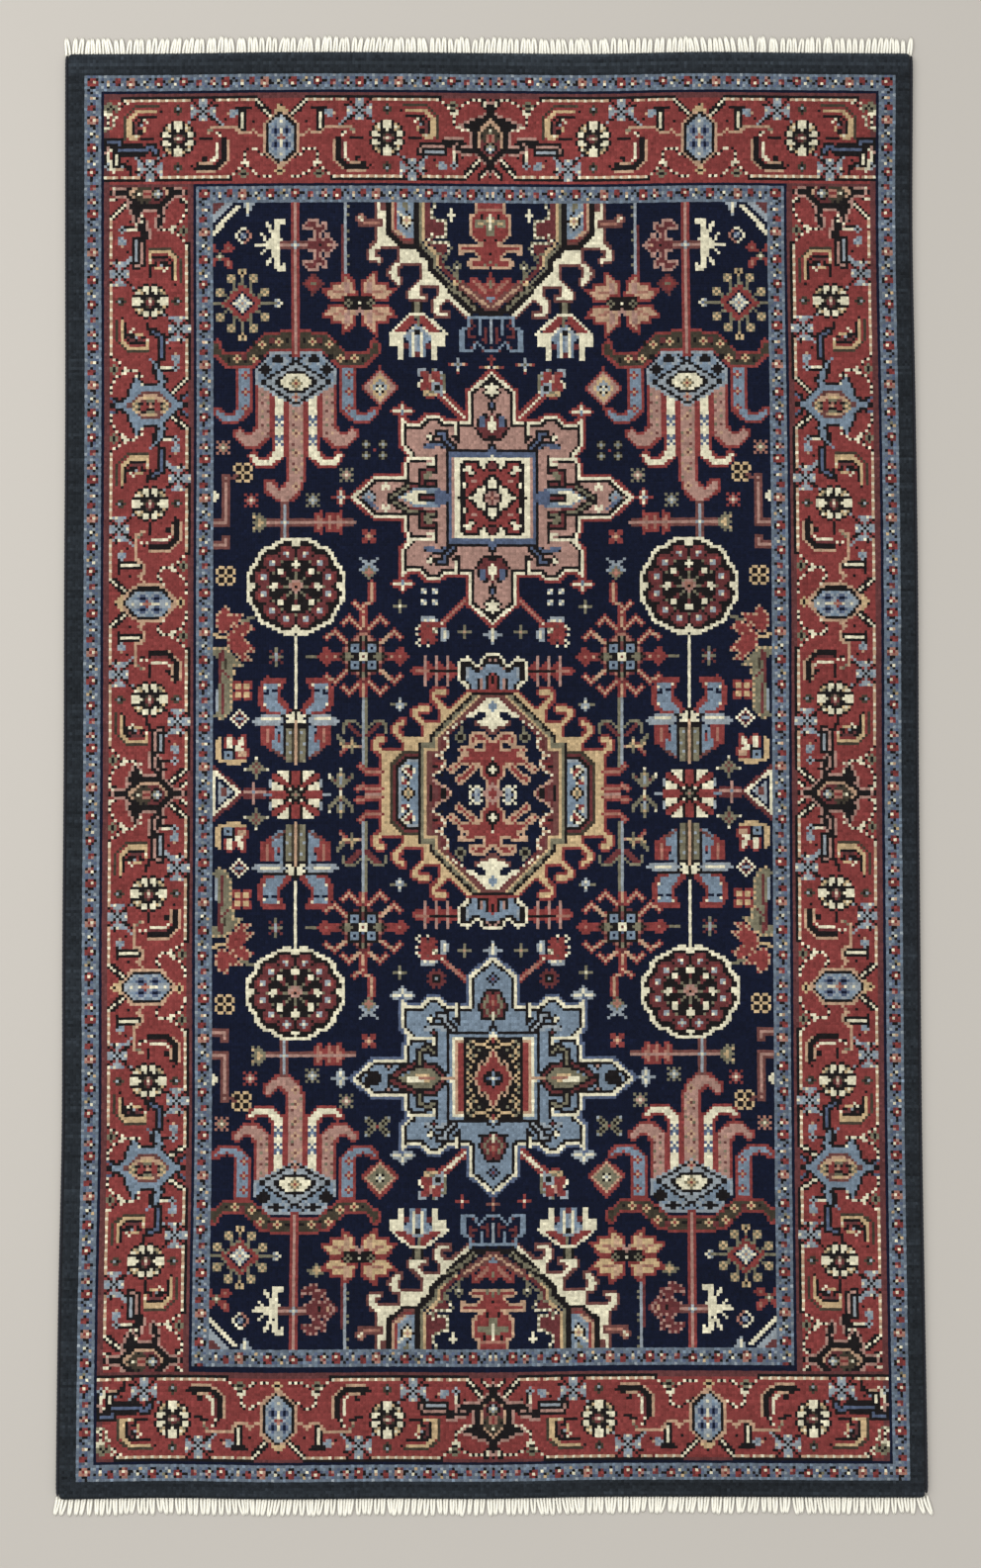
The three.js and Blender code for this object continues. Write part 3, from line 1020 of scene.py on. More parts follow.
def star_tips(loom):
    """The small arrowheads that stand off a star medallion's tips."""
    edge = "g" if loom.near else "r"
    for tip in loom.at(-31.5, STAR_MIDDLE).levels():
        tip = tip.at(0, -32)
        tip.line([(0, 1), (0, 6)], edge + "g", 1, 0.5)
        rows = ["....e", "...ei", ".eeei", "eiiib", ".eeeb"]
        tip.chart([row.replace("e", edge) for row in rows], fold="x")
    side = loom.at(-54, 160.5)
    rows = ["...e..", "..eie.", "..eie.", "eegbie"]
    side.chart([row.replace("e", edge) for row in rows], fold="y")


def leaf_bar(loom):
    """A bar of three leaves that points at the central medallion's finial."""
    loom.line([(-27, 222.5), (-11, 222.5)], "r", 3)
    for x in (-23.5, -19.5, -15.5):
        loom.shape([(x, 217.9), (x + 3.4, 222.5), (x, 227.2)], "r")
        loom.line([(x, 217.5), (x, 227.5)], "o")
    loom.line([(-27, 222.5), (-23, 222.5)], "a")
    loom.line([(-21.5, 222.5), (-11, 222.5)], "k")


def branch_star(loom):
    """A camel diamond with four blue petals, hooked branches on every side."""
    middle = loom.at(-45.5, 217.3)
    middle.line([(0, -8), (0, -17.5), (2.5, -20), (2.5, -26)], "rp", 1, 0.5)
    middle.line([(-3, -18.5), (0, -16)], "rp", 1, 0.5)
    for branch in middle.quarters():
        branch.line([(0.5, -8.5), (5.5, -13.5), (7.5, -11.5)], "rp", 1, 0.5)
        branch.line([(5, -4), (10.5, -9.3), (13, -7)], "rp", 1, 0.5)
    for half in middle.halves():
        half.line([(8, 0), (11.5, 0)], "rp", 1, 0.5)
        half.diamond(13.3, 0, "rray", 3.3, 3.4)
    middle.line([(0, 8), (0, 14)], "rp", 1, 0.5)
    middle.line([(-17, 0), (-20, 0)], "v")
    middle.shape(both_sides([(0, -10), (5.5, -5), (9.2, 0), (5.5, 4.8), (0, 9.5)]), "dap")
    middle.chart([
        ".......kv",
        ".......kv",
        "...kkkkku",
        "...kbbbku",
        "...kbnbkd",
        "...kbbbks",
        ".kvvkkkii",
        "kevvvkkiu",
    ], fold="xy")


def stalk(loom):
    """The branch star's pearl stalk with a bird, two leaves and a red hook at its foot."""
    loom.line([(-45.5, 232), (-45.5, 257)], "g")
    loom.line([(-44.5, 232), (-44.5, 256)], "v")
    for half in loom.at(-45.5, 240).halves():
        half.line([(1.5, 5.5), (5.5, 1.5)], "d", 2)
        half.line([(1.5, 2.5), (3.5, 0.5), (6.5, 0.5), (7.5, 2), (7.5, 4)], "v")
    loom.chart([
        "v........",
        "vv...v...",
        ".vv..y...",
        ".yvuuyv..",
        "..yyyvyyo",
        "..ar.v...",
        ".ar..v...",
        ".r.......",
    ], -51, 249)


def cross_tulip(loom):
    """A tulip on a stem: brick horns with sky inside over pearl leaves and a black node."""
    loom.line([(-69.5, 210), (-69.5, 238)], "i")
    middle = loom.at(-69.5, 239.7)
    for half in middle.halves():
        half.shape([(3.2, -14.7), (10.7, -15.2), (12.2, -13.2), (13.2, -10.7), (13.3, -7.7),
                    (12.7, -3.7), (9.7, -1.9), (2.4, -1.9), (1.7, -3.7), (5.3, -7.7), (5, -12.2),
                    (3.4, -12.9)], "r")
        half.shape([(6.4, -12.4), (11.3, -12.4), (11.5, -7), (10.5, -3.9), (8.5, -3), (3.6, -2),
                    (3.6, -3), (7, -6.8)], "b")
        half.dots([(7.6, -10), (10.4, -9.6)], "n", 1.6)
        half.dots([(6.4, -12.4), (11.4, -11.4), (11.4, -5.4)], "i")
        half.line([(3, -1.7), (11, -1.7)], "k")
        half.shape([(3.9, 0.2), (6.4, -1.2), (12, -1.2), (15, 0.3), (14, 1.8), (6.4, 1.8)], "g", 0.2)
        half.line([(6.5, 0), (12, 0)], "i")
        half.shape([(8, 2.4), (12.4, 2.4), (12.4, 9.6), (10.4, 9.3), (9, 11.4), (8, 11.4)], "r")
        half.line([(10.3, 3.5), (10.3, 8)], "a")
        half.shape([(4.2, 1.7), (7.8, 3.3), (8, 11), (5.5, 14), (4.2, 12.5)], "b")
        half.line([(4.5, 13.5), (8.5, 10.5)], "u")
        half.line([(6.5, 6), (6.5, 7.5)], "r")
        half.dots([(6.5, 5)], "n")
        half.line([(4, 3), (4, 12.5)], "k")
        half.line([(2.5, 3.3), (2.5, 14.6)], "v", 1.6)
        half.line([(1.1, 3.3), (1.1, 15)], "e")
        half.dots([(2.3, 5), (3.3, 9), (2.3, 12)], "g")
    middle.line([(0, -3), (0, 0)], "k", 2)
    middle.line([(-3.3, 2), (3.3, 2)], "k", 2)
    for half in middle.halves():
        half.shape([(0.9, -2), (3, -1.4), (2.4, 0), (3.2, 1.4), (1.2, 0.9)], "i", 0.2)
        half.dots([(4, -0.5)], "k")
    middle.line([(0, 1), (0, 16)], "p")


def heart_rosette(loom):
    """The rosette between the two tulips, red petals with ivory between, and two flowers stem to stem."""
    loom.chart([
        "...iiiikrr",
        ".rrkiiikrr",
        ".rrrriikrr",
        "gkrrrrikrr",
        "giikrrrkrr",
        "giiiikrrkr",
        "kiiiikkikk",
        "rrrrrrkkkv",
        "rrrrrrrkva",
    ], -69.5, 266, fold="xy")
    loom.line([(-81, 266), (-79, 266)], "b", 1.3)
    loom.line([(-60, 266), (-58, 266)], "g")
    loom.chart([
        "....i....",
        "....v....",
        "i..vyv..v",
        "iv.vgv.uv",
        ".vuvgvvv.",
        "..vvgvv..",
        "...vvv...",
        "....u....",
        "....i....",
        "....i....",
        "...vyv...",
        "..vvuvv..",
        ".vv.g.vv.",
        "vv.vgv.vv",
        "v..vgv..v",
        "i..vyv..v",
        "....v....",
        "....v....",
    ], -53.5, 266)


def plus(loom, x, y, wool, heart=None):
    """A small cross with forked tips."""
    loom.chart([f"..{wool}", f"..{wool}", f"{wool}{wool}{heart or wool}"], x, y, fold="xy")


def ring_flower(loom, x, y, wool):
    """Four little rings joined round a dark eye."""
    rows = [".ww.", "wkkw", "wkkw", ".wwk"]
    loom.chart([row.replace("w", wool) for row in rows], x, y, fold="xy")


def star_flower(loom, x, y, petal, heart, eye="i"):
    """A small eight-pointed flower, five knots wide."""
    loom.chart([f"{petal}.{petal}", f".{petal}{heart}", f"{petal}{heart}{eye}"], x, y, fold="xy")


def scattered(loom):
    """The little flowers, crosses and diamonds that fill the navy between the big motifs."""
    loom.diamond(-39.5, 121, "rpvvgk" if loom.near else "royggk", 7, 7.4)
    loom.chart(["ki", "i."], -39.5, 121, fold="xy")
    # the red flower that leans on the star medallion, its grey seed beside it
    loom.line([(-17.5, 123), (-9.5, 131.5)], "ri")
    loom.chart([
        "ggg..vg...",
        "grru.rrrg.",
        "grrrorrrvv",
        "..rrorrrgv",
        ".irrpirrrv",
        "irrrrgggrv",
        "irrrrgkkgv",
        ".rrurgkkgv",
        "..yyvvgggi",
        "..yvyyy.g.",
        "...rrr....",
    ], -21, 119)
    if loom.near:
        plus(loom, -10.8, 113, "r", "i")
        plus(loom, 0.5, 112, "u", "p")
        loom.chart(["gv...", "vkv..", ".vkv.", "..vvr"], -40.3, 141, fold="xy")
        loom.chart(["..d.", ".ddd", "ddkk", ".dkg"], -20, 197, fold="xy")
    else:
        loom.chart(["...g", "...g", "rpgv", "...g", "...i", "...r"], -11.6, 112.5, fold="x")
        loom.chart(["....r", "...rd", "....r", "....r", "ruyi."], 0.5, 111.5, fold="x")
        loom.chart(["kvk..", "vgv..", "kvk..", "....r"], -42, 143.2, fold="xy")
        for x, y in ((-24, 194.3), (-20, 194.3), (-24, 198.3), (-20, 198.3)):
            loom.chart(["ig", "gi"], x, y)
    for x, y, petal, heart in ((-51.3, 152, "v", "o"), (-63.3, 161.5, "v", "g"), (-95.5, 142, "a", "v"),
                               (-86, 161, "r", "o")):
        star_flower(loom, x, y, petal, heart)
    loom.chart(["rr.", "rra", ".ay"], -44, 174, fold="xy")
    ring_flower(loom, -94.5, 188, "y")
    ring_flower(loom, -88.5, 151.5, "y")
    loom.line([(-94.5, 153), (-94.5, 169), (-98.5, 169.5)], "uo", 1)
    loom.line([(-94.5, 154), (-91, 152)], "u")
    loom.line([(-98.5, 177.5), (-94.5, 177.5), (-94.5, 175.5)], "uo", 1)
    loom.shape([(-99, 157.5), (-96.5, 160), (-99, 162.5)], "i")
    loom.line([(-73.5, 163), (-73.5, 175)], "ug", 1)
    loom.line([(-80.5, 169.5), (-49, 169.5)], "u", 2)
    loom.line([(-80.5, 169.5), (-50, 169.5)], "o")
    loom.eye(-73.5, 169.5, "gi")
    loom.chart(["v.v..", "yvvv.", ".vyvv", "vvyyv"], -83, 169.5, fold="y")
    for x in (-60.5, -56.8, -53.5):
        loom.shape([(x - 2.2, 166), (x, 165.5), (x + 1.6, 169.5), (x, 173.5), (x - 2.2, 173)], "ra")
    loom.line([(-63, 169.5), (-49, 169.5)], "o")
    plus(loom, -33, 199.8, "v", "i")
    loom.chart(["...g..", "...i..", "vvgggv", "..gig.", "...g.."], -33.5, 234)
    plus(loom, -10, 208, "v", "p")
    loom.chart(["...i", "...i", "..gi", "gggi", "..gi", "...i", "...g"], 0.5, 209, fold="x")
    loom.line([(-17.5, 205), (-9.5, 197.3)], "ra", 1, 0.5)
    loom.chart([
        "..ggggg.....",
        "..gigiig.r..",
        "..rrrrrrrir.",
        ".irrurrrrrr.",
        "irrrrriv.gg.",
        "..rrrrvi.gig",
        "irrrrrrr.gig",
        "..rrrrr..gig",
        ".irrurrr.gg.",
        "i.rr.rr.....",
        ".i..i.......",
    ], -21.5, 208)
    # a pearl flower on the branch star's upper stalk
    loom.chart(["g...", ".gg.", "..gg", ".gbv", "gbva", ".vaa", "..va", "...v"], -43.5, 186, fold="x")


TULIPS = [
    [(-97.5, 202.5), (-94.5, 199.5), (-93.5, 200.5), (-93.5, 203.5), (-91.5, 202.5), (-88.5, 202.5),
     (-89.5, 204.5), (-94.5, 208.3), (-96.5, 208.3), (-97.5, 205.5)],
    [(-93.5, 209.3), (-88.5, 205.2), (-86.5, 205.2), (-84.5, 207.3), (-86.5, 208), (-88.7, 210.2),
     (-87.5, 212), (-84, 215.2), (-86, 215.2), (-88, 216.3), (-85, 218.4), (-88.5, 218.4),
     (-93.5, 213.4)],
]


def edge_sprays(loom):
    """Red tulips, an olive leaf and small flowers along the field's edge."""
    for outline in TULIPS:
        loom.shape(outline, "r")
        loom.beads(outline + outline[:1], "pr")
    loom.line([(-88.5, 204.5), (-84.5, 203.5)], "v")
    loom.line([(-98.5, 209.5), (-97, 210.5), (-94.5, 210.5)], "y")
    leaf = [(-98.6, 214.2), (-94.4, 214.2), (-91, 218), (-88.6, 220.6), (-92.6, 221), (-91, 223.4),
            (-93, 225.4), (-93, 237.2), (-96.4, 239.7), (-98.6, 238.2), (-97, 236), (-97, 218),
            (-98.6, 217)]
    loom.shape(leaf, "v", 0.2)
    loom.beads(leaf[:9], "yv")
    loom.line([(-94.5, 218), (-94.5, 221)], "e")
    loom.line([(-96.5, 216), (-96.5, 226)], "d")
    loom.line([(-95.5, 215.5), (-95.5, 218.5)], "d")
    loom.line([(-95.5, 222.5), (-93.5, 224)], "d")
    loom.line([(-95.5, 227), (-95.5, 237)], "d")
    loom.line([(-97.5, 229), (-97.5, 236)], "g")
    loom.chart(["..v", "d.v", ".dg", "vvg"], -77, 217, fold="xy")
    loom.chart(["rrr.", "ryyr", "ryyr", ".rrr"], -88.5, 229, fold="xy")
    loom.chart(["...i", "..id", ".id.", "idbg"], -89.5, 239.5, fold="xy")
    loom.chart([
        "....rr...rr.",
        ".y.riir.rir.",
        "yy.riirriir.",
        "yy.riirriir.",
        "yy.rii.iirr.",
        "yy..kkkiiirr",
        "yy.bbbkrpppr",
        "yy.bkbkrpppr",
        "yykbbb.rrrr.",
        ".yyyyyyyyyy.",
        "....yyyyy...",
    ], -92, 250.5)
    loom.chart([
        "....i",
        "....v",
        "...vu",
        "..vuv",
        "ivvvu",
        "...vu",
        "....v",
        "....v",
    ], -84, 257, fold="x")
    loom.shape([(-99.5, 256.2), (-87.4, 266.3), (-99.5, 276.4)], "dinggk")
    loom.dots([(-95, 266.3)], "u", 2.6)
    loom.line([(-88, 266.3), (-81, 266.3)], "do", 1, 0.5)
    loom.line([(-84.5, 263), (-84.5, 269.5)], "o")
    loom.dots([(-84.5, 266.3)], "b")


CENTRAL_BAND = [
    (-39, 266), (-39, 251), (-31, 251), (-31, 246.6), (-23.6, 246.6), (-23.6, 241.4), (-18, 241.4),
    (-18, 235.8), (-14.3, 235.8), (-8.4, 229.9), (0.5, 229.9)]
CENTRAL_HOOKS = [
    [(-38.5, 252), (-41.5, 249.5), (-41.5, 248.5), (-40, 247), (-38.5, 247)],
    [(-31, 247.5), (-34.2, 243.8), (-34.2, 242.8), (-31.5, 240.8)],
    [(-23.5, 242), (-27.3, 238.3), (-27.3, 237.2), (-25.5, 236), (-22.3, 236)],
    [(-17, 236), (-20.7, 232), (-20.7, 231), (-19.5, 229.8), (-16.5, 230)],
]
MIDDLE_GROUND = [
    (-15, 266), (-15, 265), (-17, 263.2), (-19, 262.6), (-20.4, 261.2), (-20.4, 259.6), (-16.4, 256.6),
    (-15.8, 255.5), (-16.4, 254), (-19.6, 253.2), (-17.6, 252.2), (-15, 250.2), (-15, 246.2),
    (-14.4, 245), (-8.6, 239.4), (-4, 235), (0.5, 233)]
CONTOUR = [(-16.5, -19.5), (-15.5, -19.5), (-15.5, -16.5), (-17.5, -14.5), (-17.5, -13.6)]
MIDDLE_FIGURE = [
    (0.5, -18.3), (-1.2, -19.8), (-2.9, -21.3), (-6.4, -21.3), (-8, -19.5), (-7.2, -18), (-5.9, -18),
    (-5.2, -19.4), (-4.4, -18.5), (-2.8, -18.5), (-2.8, -15.9), (-3.6, -15.1), (-5.6, -15.2),
    (-6.4, -16.6), (-10.8, -16.9), (-11.8, -16), (-10.7, -14.8), (-9.2, -15.6), (-8.4, -14),
    (-9, -13.2), (-10.4, -13.3), (-11.7, -11.8), (-15.4, -8.7), (-14.4, -7.9), (-12.4, -8.1),
    (-11.2, -9.2), (-10.7, -10.3), (-8.9, -10.3), (-7.4, -9.6), (-9.4, -7.5), (-12.8, -5.7),
    (-12.6, -4.6), (-11.2, -3.6), (-9.4, -5), (-5.9, -8.5), (-4.4, -10.3), (-3.9, -9), (-3.9, -6.3),
    (-1.9, -4.8), (-1.2, -3.7), (-1.2, -2.5)]
ROOF = [
    (0.5, 232.4), (-2, 232.4), (-9, 239), (-8, 239.6), (-4, 236.4), (-2, 236.6), (-1.2, 238.4),
    (-4.8, 240.3), (-3.5, 241.4), (-1.3, 241.8), (0.5, 243.4)]


def shoulder(side, step, inner, slant, top):
    """An outline in the central medallion: straight side, a step in, and a slant where x + y is slant."""
    return [(side, MIDDLE_ROW), (side, step), (inner, step), (inner, slant - inner), (slant - top, top),
            (0.5, top)]


def mirrored_down(points):
    """The points from the far end on, then the same points mirrored in the rug's middle row."""
    return points[::-1] + [(x, 2 * MIDDLE_ROW - y) for x, y in points]


def central_medallion(loom):
    """The medallion at the rug's middle, in full: a hooked camel band round the two red figures."""
    ends = [(14, 302.1), (14, 229.9)]
    for wool, more in (("r", 0.9), ("y", 0)):
        loom.shape(mirrored_down(CENTRAL_BAND) + ends, wool, more)
        for hook in CENTRAL_HOOKS:
            for half in (loom, loom.at(0, 2 * MIDDLE_ROW, down=(0, -1))):
                half.line(hook, wool, 1.5 + 2 * more)
    loom.shape(mirrored_down([(-36, MIDDLE_ROW), (-36, 256), (-31, 251), (-20, 251)]), "edkgb")
    for outline, wool in (((-26, 248, -22, 223.5, 230), "k"), ((-25, 248, -21, 225.5, 231), "v"),
                          ((-24, 250, -20, 226.5, 231), "y"), ((-23, 251, -19, 227.5, 231), "u"),
                          ((-21, 252, -18, 229.5, 232), "d")):
        loom.shape(mirrored_down(shoulder(*outline)) + ends, wool)
    loom.shape(mirrored_down(MIDDLE_GROUND) + ends, "n")
    for half in loom.levels(MIDDLE_ROW):
        half.beads([(-21.5, -19.5), (-6.5, -34.5)], "kv")
        half.line([(-39.5, -7.4), (-44.5, -7.4), (-46.8, -9.5)], "ra", 1, 0.5)
        half.line([(-39.5, -1.5), (-44.5, -1.5), (-45.5, -2.8), (-48, -2)], "ra", 1, 0.5)
        half.chart([".iik.", "iurki", "kirri", ".kir.", "i.ki.", "irk..", "rri.."], -29.5, -7)
        half.chart(["..k", ".ky", "kyv"], -29.5, -1.5, fold="x")
        half.beads(CONTOUR, "ip")
        half.beads([(-19.5, -13.5), (-17.5, -12.5), (-16.5, -11.5), (-16.5, -9.7), (-20.4, -6.4)], "ip")
        half.beads([(-20.4, -5), (-19, -3.4), (-17, -2.8), (-15, -0.5)], "op")
        half.line([(-19.5, -10.8), (-17.5, -10.8)], "r", 1.3)
        half.dots([(-17.5, -6.5), (-17, -1)], "k", 1.8)
        half.dots([(-20, -9.3)], "k", 1.8)
        half.dots([(-20, -0.5)], "l", 2.8)
        half.line([(-21.5, -0.5), (-21.5, -2.5)], "k")
        half.beads([(-15.5, -22), (-9.5, -26)], "i.")
        half.chart([".vv.", "vkkv", "vkkv", ".vv."], -11, -20.5)
        half.line([(-11, -22.5), (-11, -23.5)], "v")
        middle_figure(half)
    loom.line([(-44.5, 266), (-39.5, 266)], "o")
    loom.diamond(0.5, MIDDLE_ROW, "orrk", 3.5, 3.6)


def middle_figure(half):
    """Half of the red pair of figures, from the middle row outwards, and the ivory roof over it."""
    half.shape(MIDDLE_FIGURE + [(0.5, -2.5)], "r")
    half.line(MIDDLE_FIGURE, "p")
    half.chart([".kk", "kki", "kii"], 0.5, -8.3, fold="xy")
    half.line([(0.5, -12), (0.5, -11)], "k")
    half.dots([(0.5, -13)], "i")
    half.line([(-6.5, -10.8), (-4.5, -10.8)], "p")
    roof = [(x, y - MIDDLE_ROW) for x, y in ROOF] + [(14, -22.6), (14, -33.6)]
    half.line([(-5, -25.2), (-1.5, -23.6), (0.5, -22)], "u", 2)
    half.shape(roof, "i")
    half.diamond(0.5, -31.2, "b", 2, 1.8)


CROWN_EDGE = [
    (-8.5, 230.5), (-8.5, 227.5), (-10.5, 226), (-11.5, 225.5), (-11.5, 219.5), (-10.5, 218.5),
    (-7.5, 218.5), (-5.5, 220.5), (-4.5, 220.5), (-2.5, 217.5), (-1.5, 216.8), (0.5, 216.8)]


def crown_tip(loom):
    """The central medallion's finial: an ivory outline round a sky crown with madder fingers."""
    loom.shape(CROWN_EDGE + [(14, 216.8), (14, 230.5)], "k")
    loom.line(CROWN_EDGE, "i")
    loom.beads([(-3.5, 221.5), (-0.5, 218.5)], "o.")
    loom.dots([(-9, 217.5)], "i")
    loom.shape([(-9, 221), (-8, 221), (-6.2, 222.9), (-4.4, 222.9), (-2.4, 221), (-0.9, 220), (14, 220),
                (14, 222.3), (0.5, 222.3), (-2, 224), (-2, 228.4), (-3, 228.4), (-3, 224.3),
                (-5, 224.3), (-5, 229), (-7, 229), (-7, 227), (-9, 225)], "b", 0.1)
    loom.line([(-8.5, 221.5), (-8.5, 224.5)], "g")
    loom.line([(-3.5, 225), (-3.5, 228)], "o")
    loom.line([(-5, 229.5), (-2, 229.5)], "d", 1.3)
    loom.shape([(0.5, 223), (-1.1, 224.6), (-0.9, 227), (-1.1, 229.8), (2.1, 229.8), (1.9, 227),
                (2.1, 224.6)], "r")
    loom.line([(0.5, 224.7), (0.5, 226)], "k")
    loom.line([(-6.5, 230.5), (0.5, 230.5)], "k")


def anchors(loom):
    """Small pearl flowers with ivory claws on both sides of the middle row."""
    loom.chart(["i.ii.", ".iggi", "ikggk", "isgsi"], -6, MIDDLE_ROW, fold="y")


def ring_grounds(cartoon):
    """The plain grounds of the nested rings, by wool and by knots in from the sides and both ends."""
    for wool, side, far, near in (
        ("c", 0, 0, 0), ("b", 6, 7, 6), ("n", 12, 13, 12), ("l", 13, 14, 13), ("r", 15, 16, 15),
        ("l", 43, 45, 42), ("n", 45, 47, 44), ("b", 46, 48, 46), ("n", 52, 54, 52),
    ):
        cartoon[far:ROWS - near, side:COLUMNS - side] = wool_number(wool)


# The border's big flowers, by place and kind: along the ends from the left corner to the middle, and
# down the left side
END_STATIONS = ((-149.5, "dark"), (-112, "rosette"), (-74.7, "hexagon"), (-37, "rosette"), (0.5,
                                                                                            "dark"))
SIDE_STATIONS = ((50, "corner"), (89.5, "rosette"), (127, "blue"), (162, "rosette"), (198, "hexagon"),
                 (232, "rosette"), (266, "dark"), (301, "rosette"), (334.5, "hexagon"), (367,
                                                                                         "rosette"),
                 (398, "blue"), (430, "rosette"), (465, "corner"))

# The side border's middle and how far it is squeezed across. Then of both end borders: first row,
# middle row, row after the last, and how far it is spread across, the near one being upside down.
SIDE_MIDDLE = -122
SIDE_SQUEEZE = 13.5 / 14
END_BORDERS = ((14, 30.5, 48, 1), (469, 485, 500, -0.94))


def border_run(loom, stations):
    """A border from station to station: a vine each side of every rosette, then the big flowers.

    The loom's x runs along the border and its y across it, outwards being -y. The vine of a rosette
    is the same on both sides, turned half round. Its leaf cross lies outside next to a hexagon or a
    corner and inside next to another palmette.
    """
    for (before, kind), (here, name), (after, next_kind) in zip(stations, stations[1:], stations[2:]):
        if name != "rosette":
            continue
        middle = loom.at(here, 0)
        down = 1 if kind in ("hexagon", "corner") else -1
        half_run(middle.at(0, 0, down=(0, down)), here - before, kind)
        half_run(middle.at(0, 0, right=(-1, 0), down=(0, -down)), after - here, next_kind)
        rosette(middle)
    for place, name in stations:
        spot = loom.at(place, 0)
        if name in ("dark", "corner"):
            palmette(spot, DARK)
        if name == "blue":
            palmette(spot, BLUE)
        if name == "hexagon":
            hexagon_flower(spot)


def corner_scroll(loom):
    """The small scrolls in the corner of the end border."""
    loom.beads([(-129.5, 17), (-132, 19), (-134, 19.5), (-137, 18.5)], "ik")
    loom.chart([".v.vv", "vkvkv", ".vv.v"], -136, 19)
    loom.beads([(-133.5, 22), (-135, 24), (-135, 26), (-138, 27)], "iv")
    loom.line([(-137, 31.5), (-133, 31.5), (-133, 33.5)], "ks", 1)
    loom.line([(-136, 34.4), (-132.5, 34.4)], "i")
    loom.line([(-133.7, 35), (-133.7, 39)], "ki", 1)
    loom.line([(-131.5, 39.5), (-129, 41), (-128.5, 43)], "k", 1.6)
    loom.line([(-135.5, 38.5), (-136, 40.5), (-134.5, 42)], "i")
    loom.line([(-134, 41), (-131.8, 41)], "p")
    loom.line([(-132.5, 34), (-124, 34), (-122, 33), (-120.5, 33.2), (-119.5, 35)], "ks", 1)


def draw_borders(cartoon):
    """The nested rings with all that stands on them, the end borders last, as they run across."""
    ring_grounds(cartoon)
    full = Loom(cartoon)
    side = Loom(cartoon, inset=(15, 44)).at(SIDE_MIDDLE, 0, right=(0, 1), down=(SIDE_SQUEEZE, 0))
    border_run(side, SIDE_STATIONS)
    for first, row, last, way in END_BORDERS:
        cartoon[first:last, 13:COLUMNS - 13] = wool_number("l")
        cartoon[first + 2:last - 1, 15:COLUMNS - 15] = wool_number("r")
        border_run(Loom(cartoon, inset=(13, 0)).at(0, row, down=(0, way)), END_STATIONS)
        corner_scroll(full.at(0, row - END_BORDERS[0][1] * way, down=(0, way)))


def draw_field(cartoon):
    """The navy field with all its motifs, the near half's upside down."""
    _, first, last, side = PILE_ZONES[-1]
    inset = (side, side)
    cartoon[first:ROWS - last, side:COLUMNS - side] = wool_number("n")
    far, near = Loom(cartoon, inset=inset), Loom(cartoon, near=True, inset=inset)
    for loom in (far, near):
        end_medallion(loom)
        end_figure(loom)
        crown(loom.at(0, 95))
        bell(loom)
        corner_piece(loom)
        edge_flower(loom)
        loom.chart(["..ii..", ".i..a.", "i.gs.a", "i.sg.a", ".i..a.", "..ia.."], -88.5, 65.5)
        sunburst(loom)
        ivory_antlers(loom)
        red_antlers(loom)
        palmette_hood(loom)
        big_palmette(loom)
        stems(loom)
        four_petal_flower(loom)
        scattered(loom)
        edge_sprays(loom)
        round_rosette(loom)
        star_tips(loom)
        leaf_bar(loom)
        branch_star(loom)
        stalk(loom)
        cross_tulip(loom)
        crown_tip(loom)
    heart_rosette(far)
    central_medallion(far)
    anchors(far)
    rose_star(far)
    blue_star(near)


def draw_cartoon():
    """The whole rug's wools, knot by knot: the left half is knotted and then mirrored."""
    cartoon = np.full((ROWS, COLUMNS), wool_number("n"))
    draw_borders(cartoon)
    draw_field(cartoon)
    full = Loom(cartoon)
    cartoon[47:54, 45:COLUMNS - 45] = wool_number("n")
    cartoon[461:468, 45:COLUMNS - 45] = wool_number("n")
    for inset, far_row, near_row in ((6, 7, 507), (46, 48, 467)):
        side = inset - MIDDLE_COLUMN
        guard(full.at(side, far_row), MIDDLE_COLUMN - inset + 1)
        guard(full.at(side, near_row, down=(0, -1)), MIDDLE_COLUMN - inset + 1)
        guard(full.at(side, far_row, right=(0, 1), down=(1, 0)), near_row - far_row)
    for edge in (cartoon[:7], cartoon[507:], cartoon[:, :6]):
        edge[:] = wool_number("c")
    cartoon[:, MIDDLE_COLUMN + 1:] = cartoon[:, MIDDLE_COLUMN - 1::-1]
    return cartoon


# Places on the rug
def edge_out(stations, share):
    """How far an edge stands out at a share of its length: a Catmull-Rom spline through its stations."""
    last = len(stations) - 1
    place = np.clip(share, 0, 1) * last
    start = np.minimum(place.astype(int), last - 1)
    step = place - start
    before, here, there, after = (stations[np.clip(start + move, 0, last)] for move in (-1, 0, 1, 2))
    rise_here, rise_there = (there - before) / 2, (after - here) / 2
    return ((2 * here - 2 * there + rise_here + rise_there) * step**3
            + (3 * there - 3 * here - 2 * rise_here - rise_there) * step**2 + rise_here * step + here)


